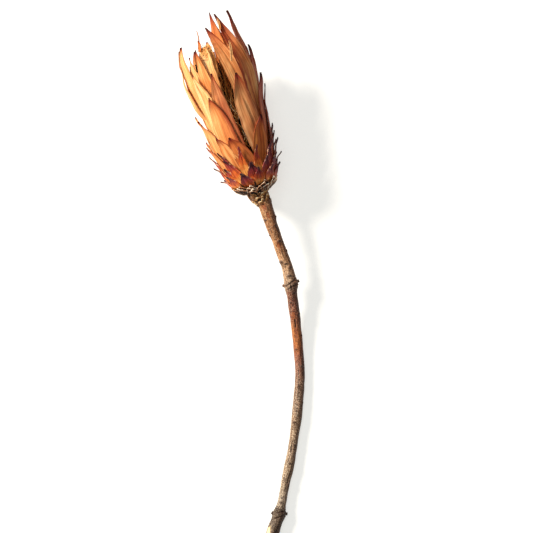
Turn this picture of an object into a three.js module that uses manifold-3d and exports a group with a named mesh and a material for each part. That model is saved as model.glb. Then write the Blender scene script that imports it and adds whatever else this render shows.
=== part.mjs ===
// A dried sugarbush protea: one closed flower head on its cut woody stem, lying on its side.
// Millimetres, +Z up. The surface it lies on is z = 0, and the head points along +Y, leaning to -X.
// The origin is on that surface, under the middle of the whole flower.
// Five pieces grow on one another: the stem with the small dry scales round its neck, the dark base
// scales, the outer bracts, the inner bracts and the bundle of florets. The swollen end of the stem,
// the receptacle, is cut across between them, so each piece keeps the slice that it grows from.
import * as THREE from "three";
import { mergeVertices } from "three/addons/utils/BufferGeometryUtils.js";
import Module from "manifold-3d";

const wasm = await Module();
wasm.setup();

const DEGREE = Math.PI / 180;

// The head's own frame: h runs along its axis from the neck to the tips, and azimuth, in degrees, turns
// about it from 0, which is up, through 90, which is towards +X.
const HEAD_BASE = new THREE.Vector3(9.3, 51.3, 17.1);
const HEAD_LEAN = 17.5 * DEGREE; // from +Y towards -X
const HEAD_RISE = 4 * DEGREE; // the tips lie higher than the neck
const HEAD_AXIS = new THREE.Vector3(
  -Math.sin(HEAD_LEAN) * Math.cos(HEAD_RISE),
  Math.cos(HEAD_LEAN) * Math.cos(HEAD_RISE),
  Math.sin(HEAD_RISE),
);
const HEAD_UP = new THREE.Vector3(0, 0, 1).addScaledVector(HEAD_AXIS, -HEAD_AXIS.z).normalize();
const HEAD_SIDE = new THREE.Vector3().crossVectors(HEAD_AXIS, HEAD_UP);

// Radius of the head at each height: of the whole head, of the outer bracts under the base scales, of
// the inner bracts under the outer ones, and of the bundle of florets.
const HEAD_OUTLINE = [
  [0, 6.6], [4, 11], [8, 14.3], [12, 16.5], [16, 17.9], [20, 18.8], [25, 19.5], [30, 19.8],
  [35, 20], [50, 21], [62, 22], [72, 22.6], [82, 22.2], [95, 19.2], [110, 15.4],
];
const OUTER_FACE = [
  [9, 11.7], [12, 13.2], [16, 14.8], [20, 16.2], [25, 17.8], [30, 19], [35, 19.7], [50, 21],
  [62, 22], [72, 22.6], [82, 22.2],
];
const INNER_FACE = [
  [12, 10.7], [16, 11.6], [20, 12.6], [25, 13.9], [30, 15], [35, 15.9], [50, 17.8], [62, 20],
  [72, 21.4], [82, 21.2], [95, 18], [110, 14.2],
];
const FLORET_FACE = [
  [17, 8.8], [25, 9.8], [35, 11.6], [50, 13.4], [62, 14.8], [75, 15.6], [90, 13.6], [110, 10.6],
];

// The receptacle's slices: height and radius of each end.
const SCALE_SEAT = { low: 1.3, high: 7.7, radiusLow: 7.2, radiusHigh: 12.8 };
const OUTER_SEAT = { low: 8, high: 12, radiusLow: 11.4, radiusHigh: 11.4 };
const INNER_SEAT = { low: 12.3, high: 17, radiusLow: 9.8, radiusHigh: 9.4 };
const FLORET_SEAT = { low: 17.3, high: 19.6, radiusLow: 8.6, radiusHigh: 8 };
const SEAT_SIDES = 24;
const ROOT_SINK = 1.6; // how deep a blade's root is sunk into its slice

// Half the width of a blade at each share of its length, as a share of its greatest half width.
const LANCE = [[0, 0.42], [0.15, 0.78], [0.4, 1], [0.62, 0.94], [0.8, 0.66], [0.92, 0.3], [1, 0.05]];
const BLUNT = [[0, 0.42], [0.15, 0.78], [0.4, 1], [0.7, 0.86], [0.9, 0.62], [1, 0.3]];
const SCALE = [[0, 0.45], [0.4, 1], [0.6, 0.78], [0.8, 0.36], [1, 0.05]];

// Rows of bracts and scales. first is the azimuth of the first one, and the others follow at equal
// steps over the span. place says how far out the row lies between its piece's inner and outer face.
// lean is how far a blade's tip stands to the left of its root, and bow how far its middle stands to the
// right of both, in degrees. tilt lifts its right-hand edge over its neighbour. A blade that shows from
// above has its own values in seen, by its number in the row. bulge is how far the upper part of a blade
// stands off its row.
const INNER_ROWS = [
  {
    count: 10, first: 27, span: 308, root: 14.6, place: 0.3, tilt: 0.6, steps: 5,
    tip: 93, tipSpread: 6, halfWidth: 5.6, lean: 12,
    seen: {
      0: { from: 36, to: -4, bow: 15, tip: 98.8, halfWidth: 5.8, place: 0.7 },
      1: { from: 72, to: 75, bow: -10, tip: 106.8, halfWidth: 4.2, place: 0.6 },
      2: { tip: 84 },
      3: { from: 148, to: 158, tip: 104.5, halfWidth: 6, place: 0.7 },
      4: { from: 172, to: 160, tip: 111.4 },
      6: { from: -120, to: -128, tip: 84 },
      7: { from: -80, to: -78, tip: 88.8, halfWidth: 5.4, place: 1, bulge: 2.4 },
      8: { from: -52, to: -43, tip: 85.4, halfWidth: 5.2, place: 0.45 },
      9: { from: -20, to: -17, bow: -8, tip: 88, halfWidth: 6.2, place: 0.7, outline: BLUNT },
    },
  },
  {
    count: 9, first: 46, span: 282, root: 13.4, place: 1, tilt: 0.3, steps: 5,
    tip: 90, tipSpread: 6, halfWidth: 5.4, lean: 12,
    seen: {
      0: { from: 78, to: 22, tip: 105.2, halfWidth: 4.8 },
      1: { from: 90, to: 66, tip: 83.5, halfWidth: 4.2 },
      2: { tip: 80 },
      7: { from: -54, to: -62, tip: 93.1, halfWidth: 4.8 },
      8: { from: -34, to: -30, tip: 87.9, halfWidth: 4.6 },
    },
  },
];
const OUTER_ROWS = [
  {
    count: 9, first: 36, span: 309, root: 10.7, place: 0, tilt: 0.4, steps: 4,
    tip: 63, tipSpread: 7, halfWidth: 6, lean: 6,
    seen: {
      0: { from: 46, to: 17.3, bow: -4, tip: 68.1, halfWidth: 6.3 },
      6: { from: -66, to: -88, tip: 50, halfWidth: 5.8 },
      7: { from: -46, to: -40.7, tip: 74.7 },
      8: { from: -6, to: -15.5, bow: -7, tip: 71.7, halfWidth: 4.8 },
    },
  },
  {
    count: 9, first: 36, span: 298, root: 9.9, place: 0.65, tilt: 0.1, steps: 3,
    tip: 49, tipSpread: 5, halfWidth: 5.6, lean: 6,
    seen: {
      0: { from: 26, to: 42.6, tip: 41.9, halfWidth: 5 },
      1: { from: 78, to: 88, tip: 59.9, halfWidth: 2.6 },
      8: { from: -24, to: -28.7, tip: 59.1, halfWidth: 6.2 },
    },
  },
  {
    count: 9, first: 72, span: 283, root: 9.1, place: 1, tilt: 0, steps: 2,
    tip: 36, tipSpread: 4, halfWidth: 4.6, lean: 6,
    seen: {
      0: { from: 66, to: 73, tip: 31.7, halfWidth: 3 },
      6: { from: -58, to: -87, tip: 35.2, halfWidth: 4 },
      7: { from: -30, to: -42, tip: 36.4, halfWidth: 4.4 },
      8: { from: 3, to: -19.5, tip: 33.9, halfWidth: 5.6 },
    },
  },
];
const SCALE_ROWS = [
  {
    count: 11, first: 18, span: 327, root: 6.2, place: 0, tilt: 0, steps: 2,
    tip: 26, tipSpread: 2.5, halfWidth: 2.6, lean: 3,
    seen: { 0: { from: 20, to: 18.1, tip: 25.5 }, 8: { from: -80, to: -92, tip: 28.5 } },
  },
  {
    count: 12, first: 3, span: 330, root: 5, place: 0.55, tilt: 0, steps: 2,
    tip: 20, tipSpread: 2, halfWidth: 3.4, lean: 2,
    seen: {
      0: { from: 6, to: 0.6, tip: 17.1, halfWidth: 4.1 },
      1: { from: 34, to: 35, tip: 18.1, halfWidth: 3.2 },
      11: { from: -32, to: -43.4, tip: 22.5, halfWidth: 3.4 },
    },
  },
  {
    count: 11, first: 10, span: 327, root: 3.6, place: 1, tilt: 0, steps: 2,
    tip: 13.5, tipSpread: 1.2, halfWidth: 3.3, lean: 0,
    seen: { 10: { from: -18, to: -22.9, tip: 12.6, halfWidth: 3.8 } },
  },
];

const BRACT = { thick: 0.66, clear: 0.35, bend: 4.5, flare: 1.4, outline: LANCE, columns: 3 };
const BASE_SCALE = { thick: 0.64, clear: 0.6, bend: 3.2, flare: 0.9, outline: SCALE, columns: 2 };
const LOOSE = { from: 2, to: 5, width: 0.06, bow: 2 }; // how far a blade may be off its row's values
const FLARE_FROM = 0.8; // share of a blade's length from which its tip turns outwards
const BULGE = { from: 46, full: 57, until: 70, gone: 86 }; // heights between which a blade bulges
const REST_TRIM = 0.12; // what the surface takes off the lowest bracts as a flat spot

// Middle line and radius of the neck, on the head's axis: height, distance to the right of it, radius.
const NECK = [[1, 0, 6.8], [-1, 0, 6.3], [-3.6, 0.9, 5.4], [-7, 1.8, 4.4]];
// The stem from the neck to its cut end: across, along and radius.
const STEM = [
  [15.3, 38.7, 3.8], [18, 30.4, 3.5], [20.7, 23.5, 3.1], [23.2, 16.5, 3.1], [25.9, 9.5, 3.1],
  [27.8, 2.5, 3.6], [28.5, -1.1, 4.2], [28.7, -4.5, 3.6], [29.3, -8.3, 3.2], [30.2, -14.8, 3.1],
  [31.5, -25.3, 2.9], [33, -40.3, 2.8], [33.8, -54.7, 2.8], [31.9, -78, 3], [30.7, -87.7, 2.6],
  [29, -98.7, 2.6], [27.3, -107.7, 2.85], [25.3, -116.7, 2.55], [23, -128.7, 2.6], [21.7, -134.3, 3.8],
  [20.2, -138.7, 3.4], [18.5, -143.2, 3.7], [14.5, -159.2, 3.6],
];
const STEM_SIDES = 12;
const STEM_RINGS = 2; // for each of its stations
// It bends down to the surface at one of its places and lies along it from there. Heights are those of
// its middle line.
const STEM_TOUCH = { place: 12, height: 2.7, endHeight: 3.5 };
const BARK_BUMP = 0.14;

// What is left of the leaves at a knot: a stub on each side, pointing a little towards the head.
const KNOTS = [6, 19]; // their places in STEM
// The left one sits further from the head, by lag.
const STUB = {
  length: 3.2, radius: 1.5, tipRadius: 0.7, sides: 6, proud: 0.9, forward: 12 * DEGREE, lag: 1.6,
};

// The small dry scales round the neck. at is the radius where their width is measured.
const RUFF = {
  count: 17, root: -0.6, tip: 4.4, tipSpread: 1, rootRadius: 4.6, proud: 1, rise: 3,
  halfWidth: 1.2, at: 8, thick: 0.7, jitter: 4,
};
const RUFF_STATIONS = [0, 0.25, 0.5, 1];

// Rings of florets, outermost first: where they leave their slice, how much of the face they reach.
const FLORET_RINGS = [
  { count: 30, seat: 7.4, low: 18.4, share: 0.92, tip: 78, tipSpread: 5 },
  { count: 16, seat: 5.2, low: 19, share: 0.72, tip: 82, tipSpread: 4 },
  { count: 7, seat: 2.6, low: 19, share: 0.4, tip: 84, tipSpread: 3 },
];
const FLORET = {
  radius: 0.8, tipRadius: 0.42, sides: 3, steps: 3, jitter: 3, sway: 10, bow: 0.4, depth: 1.2, rise: 3,
};
const FLORET_CORE = { outline: [[18, 6.8], [42, 6.6], [66, 3]], top: 68, sides: 10 };

const SEEDS = { innerBracts: 11, outerBracts: 23, baseScales: 37, florets: 51, stem: 67 };

// The same sequence of numbers from -1 to 1 for the same seed.
function seededRandom(seed) {
  let state = seed;
  return () => {
    state = (state * 1664525 + 1013904223) % 4294967296;
    return (2 * state) / 4294967296 - 1;
  };
}

const mix = (a, b, t) => a + (b - a) * t;

const smooth = (t) => {
  const x = Math.min(Math.max(t, 0), 1);
  return x * x * (3 - 2 * x);
};

const easeOut = (t) => 1 - (1 - Math.min(t, 1)) ** 2;

function along(table, x) {
  const next = table.findIndex(([at]) => at > x);
  if (next === 0) return table[0][1];
  if (next < 0) return table.at(-1)[1];
  const [x0, y0] = table[next - 1];
  const [x1, y1] = table[next];
  return mix(y0, y1, (x - x0) / (x1 - x0));
}

function headPoint(h, radius, azimuth) {
  return HEAD_BASE.clone()
    .addScaledVector(HEAD_AXIS, h)
    .addScaledVector(HEAD_UP, radius * Math.cos(azimuth * DEGREE))
    .addScaledVector(HEAD_SIDE, radius * Math.sin(azimuth * DEGREE));
}

function headRing(h, radius, sides) {
  return Array.from({ length: sides }, (_, i) => headPoint(h, radius, (i * 360) / sides));
}

// How far the head is pressed in where it lies on the surface.
function squeeze(h, azimuth) {
  const down = -Math.cos(azimuth * DEGREE) * HEAD_UP.z;
  if (down <= 0) return 0;
  const axisHeight = HEAD_BASE.z + h * HEAD_AXIS.z + REST_TRIM;
  return Math.max(along(HEAD_OUTLINE, h) - axisHeight / down, 0);
}

function solidOf(geometry) {
  const bare = geometry.clone();
  bare.deleteAttribute("normal");
  bare.deleteAttribute("uv");
  const merged = mergeVertices(bare, 1e-4);
  return new wasm.Manifold(
    new wasm.Mesh({
      numProp: 3,
      vertProperties: merged.attributes.position.array,
      triVerts: new Uint32Array(merged.index.array),
    }),
  );
}

// The closed solid of these points and triangles, its faces turned outwards.
function outwardSolid(points, index) {
  const geometry = new THREE.BufferGeometry().setFromPoints(points).setIndex(index);
  const solid = solidOf(geometry);
  return solid.volume() < 0 ? solidOf(geometry.setIndex(index.toReversed())) : solid;
}

// Rings of points joined side by side into one closed solid. A ring of one point closes an end.
function loftSolid(rings) {
  const index = [];
  let start = 0;
  for (let r = 0; r + 1 < rings.length; r++) {
    const [here, next] = [rings[r].length, rings[r + 1].length];
    const sides = Math.max(here, next);
    for (let i = 0; i < sides; i++) {
      const j = (i + 1) % sides;
      const [a, b] = [start + (i % here), start + (j % here)];
      const [c, d] = [start + here + (i % next), start + here + (j % next)];
      if (here > 1) index.push(a, b, d);
      if (next > 1) index.push(a, d, c);
    }
    start += here;
  }
  return outwardSolid(rings.flat(), index);
}

// A thin closed blade: point(u, v) is its middle surface, u from root to tip and v across from -1 to 1.
// Both faces are split into triangles alike.
function bladeSolid(point, stations, columns, thick) {
  const nudge = 1e-3;
  const faces = [[], []];
  for (const u of stations) {
    for (let j = 0; j <= columns; j++) {
      const v = (2 * j) / columns - 1;
      const uIn = Math.min(Math.max(u, nudge), 1 - nudge);
      const alongBlade = point(uIn + nudge, v).sub(point(uIn - nudge, v));
      const acrossBlade = point(uIn, v + nudge).sub(point(uIn, v - nudge));
      const normal = alongBlade.cross(acrossBlade).normalize();
      faces[0].push(point(u, v).addScaledVector(normal, thick / 2));
      faces[1].push(point(u, v).addScaledVector(normal, -thick / 2));
    }
  }
  const across = columns + 1;
  const under = faces[0].length;
  const index = [];
  for (let i = 0; i + 1 < stations.length; i++) {
    const [here, next] = [i * across, (i + 1) * across];
    for (let j = 0; j < columns; j++) {
      const [a, b, c, d] = [here + j, here + j + 1, next + j, next + j + 1];
      index.push(a, c, d, a, d, b);
      index.push(under + a, under + d, under + c, under + a, under + b, under + d);
    }
    const [left, leftNext, right, rightNext] = [here, next, here + columns, next + columns];
    index.push(left, under + left, under + leftNext, left, under + leftNext, leftNext);
    index.push(right, under + rightNext, under + right, right, rightNext, under + rightNext);
  }
  for (const [from, turned] of [[0, false], [under - across, true]]) {
    for (let j = 0; j < columns; j++) {
      const [a, b] = [from + j, from + j + 1];
      const side = [a, b, under + b, a, under + b, under + a];
      index.push(...(turned ? side.toReversed() : side));
    }
  }
  return outwardSolid(faces.flat(), index);
}

// Shares of a blade's length where it is bent: two within its root's bend, the others even beyond it.
function stationsOf(length, bend, evenSteps) {
  const bent = bend / length;
  const even = Array.from({ length: evenSteps }, (_, i) => mix(bent, 1, (i + 1) / evenSteps));
  return [0, bent * 0.35, bent, ...even];
}

// The blades of one row, each a little off its place, with the seen ones at their own.
function bladesOfRow(row, random) {
  return Array.from({ length: row.count }, (_, i) => {
    const azimuth = row.first + (i * row.span) / (row.count - 1);
    const own = {
      from: azimuth + row.lean / 2 + random() * LOOSE.from,
      to: azimuth - row.lean / 2 + random() * LOOSE.to,
      tip: row.tip + random() * row.tipSpread,
      halfWidth: row.halfWidth * (1 + random() * LOOSE.width),
      bow: random() * LOOSE.bow,
    };
    return { ...row, ...own, ...row.seen[i] };
  });
}

// The share of a blade's bulge at a height.
function bulgeAt(h) {
  const grown = smooth((h - BULGE.from) / (BULGE.full - BULGE.from));
  return grown * (1 - smooth((h - BULGE.until) / (BULGE.gone - BULGE.until)));
}

// One blade on the head: it leaves its slice outwards, bends up and lies between the two faces. Its
// right-hand edge lies over its neighbour and its left-hand edge under the other one.
function headBlade(blade, kind, seat, innerFace, outerFace) {
  const length = blade.tip - blade.root;
  const seatShare = (blade.root - seat.low) / (seat.high - seat.low);
  const rootRadius = mix(seat.radiusLow, seat.radiusHigh, seatShare) - ROOT_SINK;
  const margin = kind.thick / 2 + blade.tilt;
  const point = (u, v) => {
    const h = blade.root + length * u;
    const out = easeOut((length * u) / kind.bend);
    const inside = along(innerFace, h) + margin + kind.clear;
    const outside = along(outerFace, h) - margin;
    const middle = mix(blade.from, blade.to, u) + blade.bow * 4 * u * (1 - u);
    const lying = mix(inside, Math.max(outside, inside), blade.place);
    const width = blade.halfWidth * along(blade.outline ?? kind.outline, u);
    const azimuth = middle + (v * width) / (mix(rootRadius, lying, out) * DEGREE);
    const rise = blade.tilt * v * out + kind.flare * smooth((u - FLARE_FROM) / (1 - FLARE_FROM));
    const curl = rise + (blade.bulge ?? 0) * bulgeAt(h);
    return headPoint(h, mix(rootRadius, lying - squeeze(h, azimuth), out) + curl, azimuth);
  };
  return bladeSolid(point, stationsOf(length, kind.bend, blade.steps), kind.columns, kind.thick);
}

function seatSolid({ low, high, radiusLow, radiusHigh }) {
  return loftSolid([
    [headPoint(low, 0, 0)],
    headRing(low, radiusLow, SEAT_SIDES),
    headRing(high, radiusHigh, SEAT_SIDES),
    [headPoint(high, 0, 0)],
  ]);
}

// Everything under the surface, which a lying part can't reach into.
const ground = solidOf(new THREE.BoxGeometry(400, 800, 20).translate(0, 0, -10));

// The one body of a solid, with the hollows that joining sealed filled.
function oneBody(solid) {
  return solid.decompose().reduce((best, body) => (body.volume() > best.volume() ? body : best));
}

// The solids joined into one body that lies on the surface, as a mesh of one colour.
function grownMesh(name, solids, color, roughness) {
  const solid = solids.reduce((sum, piece) => sum.add(piece)).subtract(ground);
  const made = oneBody(solid).getMesh();
  const geometry = new THREE.BufferGeometry()
    .setAttribute("position", new THREE.BufferAttribute(new Float32Array(made.vertProperties), 3))
    .setIndex(new THREE.BufferAttribute(new Uint32Array(made.triVerts), 1));
  geometry.computeVertexNormals();
  const mesh = new THREE.Mesh(geometry, new THREE.MeshStandardMaterial({ color, roughness }));
  mesh.name = name;
  return mesh;
}

function innerBracts() {
  const random = seededRandom(SEEDS.innerBracts);
  const blades = INNER_ROWS.flatMap((row) => bladesOfRow(row, random)).map((blade) =>
    headBlade(blade, BRACT, INNER_SEAT, FLORET_FACE, INNER_FACE),
  );
  return grownMesh("inner_bracts", [seatSolid(INNER_SEAT), ...blades], "#eaa75f", 0.7);
}

function outerBracts() {
  const random = seededRandom(SEEDS.outerBracts);
  const blades = OUTER_ROWS.flatMap((row) => bladesOfRow(row, random)).map((blade) =>
    headBlade(blade, BRACT, OUTER_SEAT, INNER_FACE, OUTER_FACE),
  );
  return grownMesh("outer_bracts", [seatSolid(OUTER_SEAT), ...blades], "#d98d4e", 0.7);
}

function baseScales() {
  const random = seededRandom(SEEDS.baseScales);
  const blades = SCALE_ROWS.flatMap((row) => bladesOfRow(row, random)).map((blade) =>
    headBlade(blade, BASE_SCALE, SCALE_SEAT, OUTER_FACE, HEAD_OUTLINE),
  );
  return grownMesh("base_scales", [seatSolid(SCALE_SEAT), ...blades], "#84452f", 0.75);
}

// One floret: a slender thread that leaves the slice near the axis and stands close under the bracts.
function floretSolid(place, from, random) {
  const to = from + random() * FLORET.sway;
  const tip = place.tip + random() * place.tipSpread;
  const bow = random() * FLORET.bow;
  const rings = Array.from({ length: FLORET.steps + 1 }, (_, step) => {
    const t = step / FLORET.steps;
    const h = mix(place.low, tip, t);
    const lying = (along(FLORET_FACE, h) - FLORET.depth) * place.share + bow * Math.sin(t * Math.PI);
    const middle = headPoint(h, mix(place.seat, lying, smooth(t * FLORET.rise)), mix(from, to, t));
    const thick = mix(FLORET.radius, FLORET.tipRadius, t);
    return Array.from({ length: FLORET.sides }, (_, side) => {
      const turn = (side * 2 * Math.PI) / FLORET.sides;
      return middle.clone()
        .addScaledVector(HEAD_UP, thick * Math.cos(turn))
        .addScaledVector(HEAD_SIDE, thick * Math.sin(turn));
    });
  });
  const [rootEnd, tipEnd] = [rings[0], rings.at(-1)].map((points) =>
    points.reduce((sum, p) => sum.add(p), new THREE.Vector3()).divideScalar(points.length),
  );
  return loftSolid([[rootEnd], ...rings, [tipEnd]]);
}

// The dense bundle of florets, with a core that is all one sees between them.
function florets() {
  const random = seededRandom(SEEDS.florets);
  const core = loftSolid([
    [headPoint(FLORET_CORE.outline[0][0], 0, 0)],
    ...FLORET_CORE.outline.map(([h, radius]) => headRing(h, radius, FLORET_CORE.sides)),
    [headPoint(FLORET_CORE.top, 0, 0)],
  ]);
  const threads = FLORET_RINGS.flatMap((place) =>
    Array.from({ length: place.count }, (_, i) => {
      const from = (i * 360) / place.count + random() * FLORET.jitter;
      return floretSolid(place, from, random);
    }),
  );
  return grownMesh("florets", [seatSolid(FLORET_SEAT), core, ...threads], "#5e2f14", 0.9);
}

// Middle points and radii from the neck to the cut end.
function stemStations() {
  const neck = NECK.map(([h, right, radius]) => ({ at: headPoint(h, right, 90), radius }));
  let before = neck.at(-1).at;
  let length = 0;
  const runs = STEM.map(([x, y]) => {
    length += Math.hypot(x - before.x, y - before.y);
    before = { x, y };
    return length;
  });
  const touch = runs[STEM_TOUCH.place];
  const height = (run) =>
    run < touch
      ? mix(neck.at(-1).at.z, STEM_TOUCH.height, smooth(run / touch))
      : mix(STEM_TOUCH.height, STEM_TOUCH.endHeight, (run - touch) / (length - touch));
  const shaft = STEM.map(([x, y, radius], i) => ({
    at: new THREE.Vector3(x, y, height(runs[i])),
    radius,
  }));
  return [...neck, ...shaft];
}

function shaftSolid(stations, random) {
  const path = new THREE.CatmullRomCurve3(stations.map(({ at }) => at), false, "centripetal");
  const steps = (stations.length - 1) * STEM_RINGS;
  const rings = Array.from({ length: steps + 1 }, (_, i) => {
    const at = path.getPoint(i / steps);
    const tangent = path.getTangent(i / steps);
    const side = new THREE.Vector3().crossVectors(tangent, new THREE.Vector3(0, 0, 1)).normalize();
    const up = new THREE.Vector3().crossVectors(side, tangent);
    const station = Math.min(Math.floor(i / STEM_RINGS), stations.length - 2);
    const share = i / STEM_RINGS - station;
    const radius = mix(stations[station].radius, stations[station + 1].radius, share);
    return Array.from({ length: STEM_SIDES }, (_, k) => {
      const turn = (k * 2 * Math.PI) / STEM_SIDES;
      const bumped = radius + (i > 0 && i < steps ? BARK_BUMP * random() : 0);
      return at.clone()
        .addScaledVector(side, bumped * Math.cos(turn))
        .addScaledVector(up, bumped * Math.sin(turn));
    });
  });
  return loftSolid([[path.getPoint(0)], ...rings, [path.getPoint(1)]]);
}

function stubSolids(stations, knot) {
  const { at, radius } = stations[knot];
  const toHead = stations[knot - 1].at.clone().sub(stations[knot + 1].at).normalize();
  const side = new THREE.Vector3().crossVectors(toHead, new THREE.Vector3(0, 0, 1)).normalize();
  return [-1, 1].map((hand) => {
    const axis = side.clone().multiplyScalar(hand * Math.cos(STUB.forward));
    axis.addScaledVector(toHead, Math.sin(STUB.forward));
    const middle = at.clone().addScaledVector(axis, radius + STUB.proud - STUB.length / 2);
    if (hand < 0) middle.addScaledVector(toHead, -STUB.lag);
    const cone = new THREE.CylinderGeometry(STUB.tipRadius, STUB.radius, STUB.length, STUB.sides);
    cone.applyQuaternion(new THREE.Quaternion().setFromUnitVectors(new THREE.Vector3(0, 1, 0), axis));
    return solidOf(cone.translate(middle.x, middle.y, middle.z));
  });
}

function ruffSolids(random) {
  return Array.from({ length: RUFF.count }, (_, i) => {
    const middle = (i * 360) / RUFF.count + random() * RUFF.jitter;
    const tip = RUFF.tip + random() * RUFF.tipSpread;
    const point = (u, v) => {
      const h = mix(RUFF.root, tip, u);
      const lying = along(HEAD_OUTLINE, h) + RUFF.proud;
      const radius = mix(RUFF.rootRadius, lying, easeOut(u * RUFF.rise)) - squeeze(h, middle);
      return headPoint(h, radius, middle + (v * RUFF.halfWidth * (1.05 - u)) / (RUFF.at * DEGREE));
    };
    return bladeSolid(point, RUFF_STATIONS, 1, RUFF.thick);
  });
}

function stem() {
  const random = seededRandom(SEEDS.stem);
  const stations = stemStations();
  const shaft = shaftSolid(stations, random);
  const stubs = KNOTS.flatMap((knot) => stubSolids(stations, NECK.length + knot));
  return grownMesh("stem", [shaft, ...ruffSolids(random), ...stubs], "#7d5c42", 0.9);
}

const flower = new THREE.Group();
flower.add(stem(), baseScales(), outerBracts(), innerBracts(), florets());

export default flower;
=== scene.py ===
# A dried sugarbush protea, one closed flower head on its cut woody stem, lying on its side.
# Built from the cut end of the stem up to the florets inside the head. Metres, +Z up.
import math

import bpy
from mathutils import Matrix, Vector, noise


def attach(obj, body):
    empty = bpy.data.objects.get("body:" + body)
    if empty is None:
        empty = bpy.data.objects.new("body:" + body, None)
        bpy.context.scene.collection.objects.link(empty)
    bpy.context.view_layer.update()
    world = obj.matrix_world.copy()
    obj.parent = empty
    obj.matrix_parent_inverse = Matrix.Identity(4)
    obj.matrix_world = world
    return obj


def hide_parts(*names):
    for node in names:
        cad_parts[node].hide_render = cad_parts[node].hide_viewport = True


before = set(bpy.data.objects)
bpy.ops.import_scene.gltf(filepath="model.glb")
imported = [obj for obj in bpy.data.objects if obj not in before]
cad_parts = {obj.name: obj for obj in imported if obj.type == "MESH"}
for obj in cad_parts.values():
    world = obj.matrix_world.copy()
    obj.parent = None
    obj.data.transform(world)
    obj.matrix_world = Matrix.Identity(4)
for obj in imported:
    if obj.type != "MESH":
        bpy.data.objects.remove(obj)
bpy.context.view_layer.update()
bpy.ops.object.select_all(action="DESELECT")


# Stem: one woody twig, cut off square at its foot, which grew with the head on its end. Thin bark with
# fine lengthwise grain covers it, red-brown below the upper knot, grey and speckled near the foot. Its
# lower half lies on the surface.
MM = 0.001
# The neck's stations are height on the head's axis, distance to its right and radius. The stem's are x,
# y and radius, and the knots and the place from which on it lies on the surface are counted in them.
NECK = [(1, 0, 6.2), (-1, 0, 5.7), (-3.6, 0.9, 4.9), (-7, 1.8, 4.15)]
STEM = [
    (15.3, 38.7, 3.75), (18, 30.4, 3.5), (20.7, 23.5, 3.1), (23.2, 16.5, 3.15), (25.9, 9.5, 3.15),
    (27.8, 2.5, 3.6), (28.5, -1.1, 4.2), (28.7, -4.5, 3.6), (29.3, -8.3, 3.1), (30.2, -14.8, 3.1),
    (31.5, -25.3, 2.9), (33, -40.3, 2.8), (33.8, -54.7, 2.8), (31.9, -78, 3), (30.7, -87.7, 2.6),
    (29, -98.7, 2.6), (27.3, -107.7, 2.85), (25.3, -116.7, 2.55), (23, -128.7, 2.6), (21.7, -134.3, 3.8),
    (20.2, -138.7, 3.4), (18.5, -143.2, 3.7), (14.5, -159.2, 3.6),
]
TOUCH_PLACE, TOUCH_HEIGHT, END_HEIGHT = 12, 2.7, 3.5
UPPER_KNOT, LOWER_KNOT = 6, 19

HEAD_BASE = Vector((9.3, 51.3, 17.1))
HEAD_LEAN, HEAD_RISE = math.radians(17.5), math.radians(4)
HEAD_AXIS = Vector((
    -math.sin(HEAD_LEAN) * math.cos(HEAD_RISE),
    math.cos(HEAD_LEAN) * math.cos(HEAD_RISE),
    math.sin(HEAD_RISE),
))
HEAD_UP = (Vector((0, 0, 1)) - HEAD_AXIS * HEAD_AXIS.z).normalized()
HEAD_SIDE = HEAD_AXIS.cross(HEAD_UP)


def head_point(h, radius, azimuth):
    """A point of the head in mm: height on its axis, distance from it, degrees from the top to +X."""
    turn = math.radians(azimuth)
    return HEAD_BASE + HEAD_AXIS * h + (HEAD_UP * math.cos(turn) + HEAD_SIDE * math.sin(turn)) * radius


def mix(a, b, t):
    return a + (b - a) * t


def smooth(t):
    t = min(max(t, 0), 1)
    return t * t * (3 - 2 * t)


def stem_stations():
    """[(middle point and radius in one vector, distance from the neck)] from the neck to the cut end."""
    found = [(head_point(h, right, 90), radius) for h, right, radius in NECK]
    end = found[-1][0]
    before, run, runs = end, 0, []
    for x, y, radius in STEM:
        run += math.hypot(x - before[0], y - before[1])
        before = (x, y)
        runs.append(run)
    touch = runs[TOUCH_PLACE]
    for (x, y, radius), run in zip(STEM, runs):
        if run < touch:
            z = mix(end.z, TOUCH_HEIGHT, smooth(run / touch))
        else:
            z = mix(TOUCH_HEIGHT, END_HEIGHT, (run - touch) / (runs[-1] - touch))
        found.append((Vector((x, y, z)), radius))
    distances = [0]
    for (a, _), (b, _) in zip(found, found[1:]):
        distances.append(distances[-1] + (b - a).length)
    return [((*point, radius), s) for (point, radius), s in zip(found, distances)]


STATIONS = stem_stations()
STEM_LENGTH = STATIONS[-1][1]


def stem_at(s):
    """Middle point, direction and radius of the stem, in mm, at a distance from the neck."""
    i = max(k for k in range(len(STATIONS) - 1) if STATIONS[k][1] <= max(s, 0))
    (p1, s1), (p2, s2) = STATIONS[i], STATIONS[i + 1]
    p0, s0 = STATIONS[max(i - 1, 0)]
    p3, s3 = STATIONS[min(i + 2, len(STATIONS) - 1)]
    t, gap = (s - s1) / (s2 - s1), s2 - s1
    value, slope = [], []
    for a, b, c, d in zip(p0, p1, p2, p3):
        m1, m2 = (c - a) / (s2 - s0) * gap, (d - b) / (s3 - s1) * gap
        value.append(
            b * (2 * t**3 - 3 * t**2 + 1) + m1 * (t**3 - 2 * t**2 + t)
            + c * (3 * t**2 - 2 * t**3) + m2 * (t**3 - t**2)
        )
        slope.append(
            b * (6 * t**2 - 6 * t) + m1 * (3 * t**2 - 4 * t + 1)
            + c * (6 * t - 6 * t**2) + m2 * (3 * t**2 - 2 * t)
        )
    return Vector(value[:3]), Vector(slope[:3]).normalized(), value[3]


def stem_frame(s):
    """Middle point, radius, and the directions to the left and up, across the stem."""
    middle, down_stem, radius = stem_at(s)
    left = down_stem.cross(Vector((0, 0, 1))).normalized()
    return middle, radius, left, left.cross(down_stem)


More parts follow.
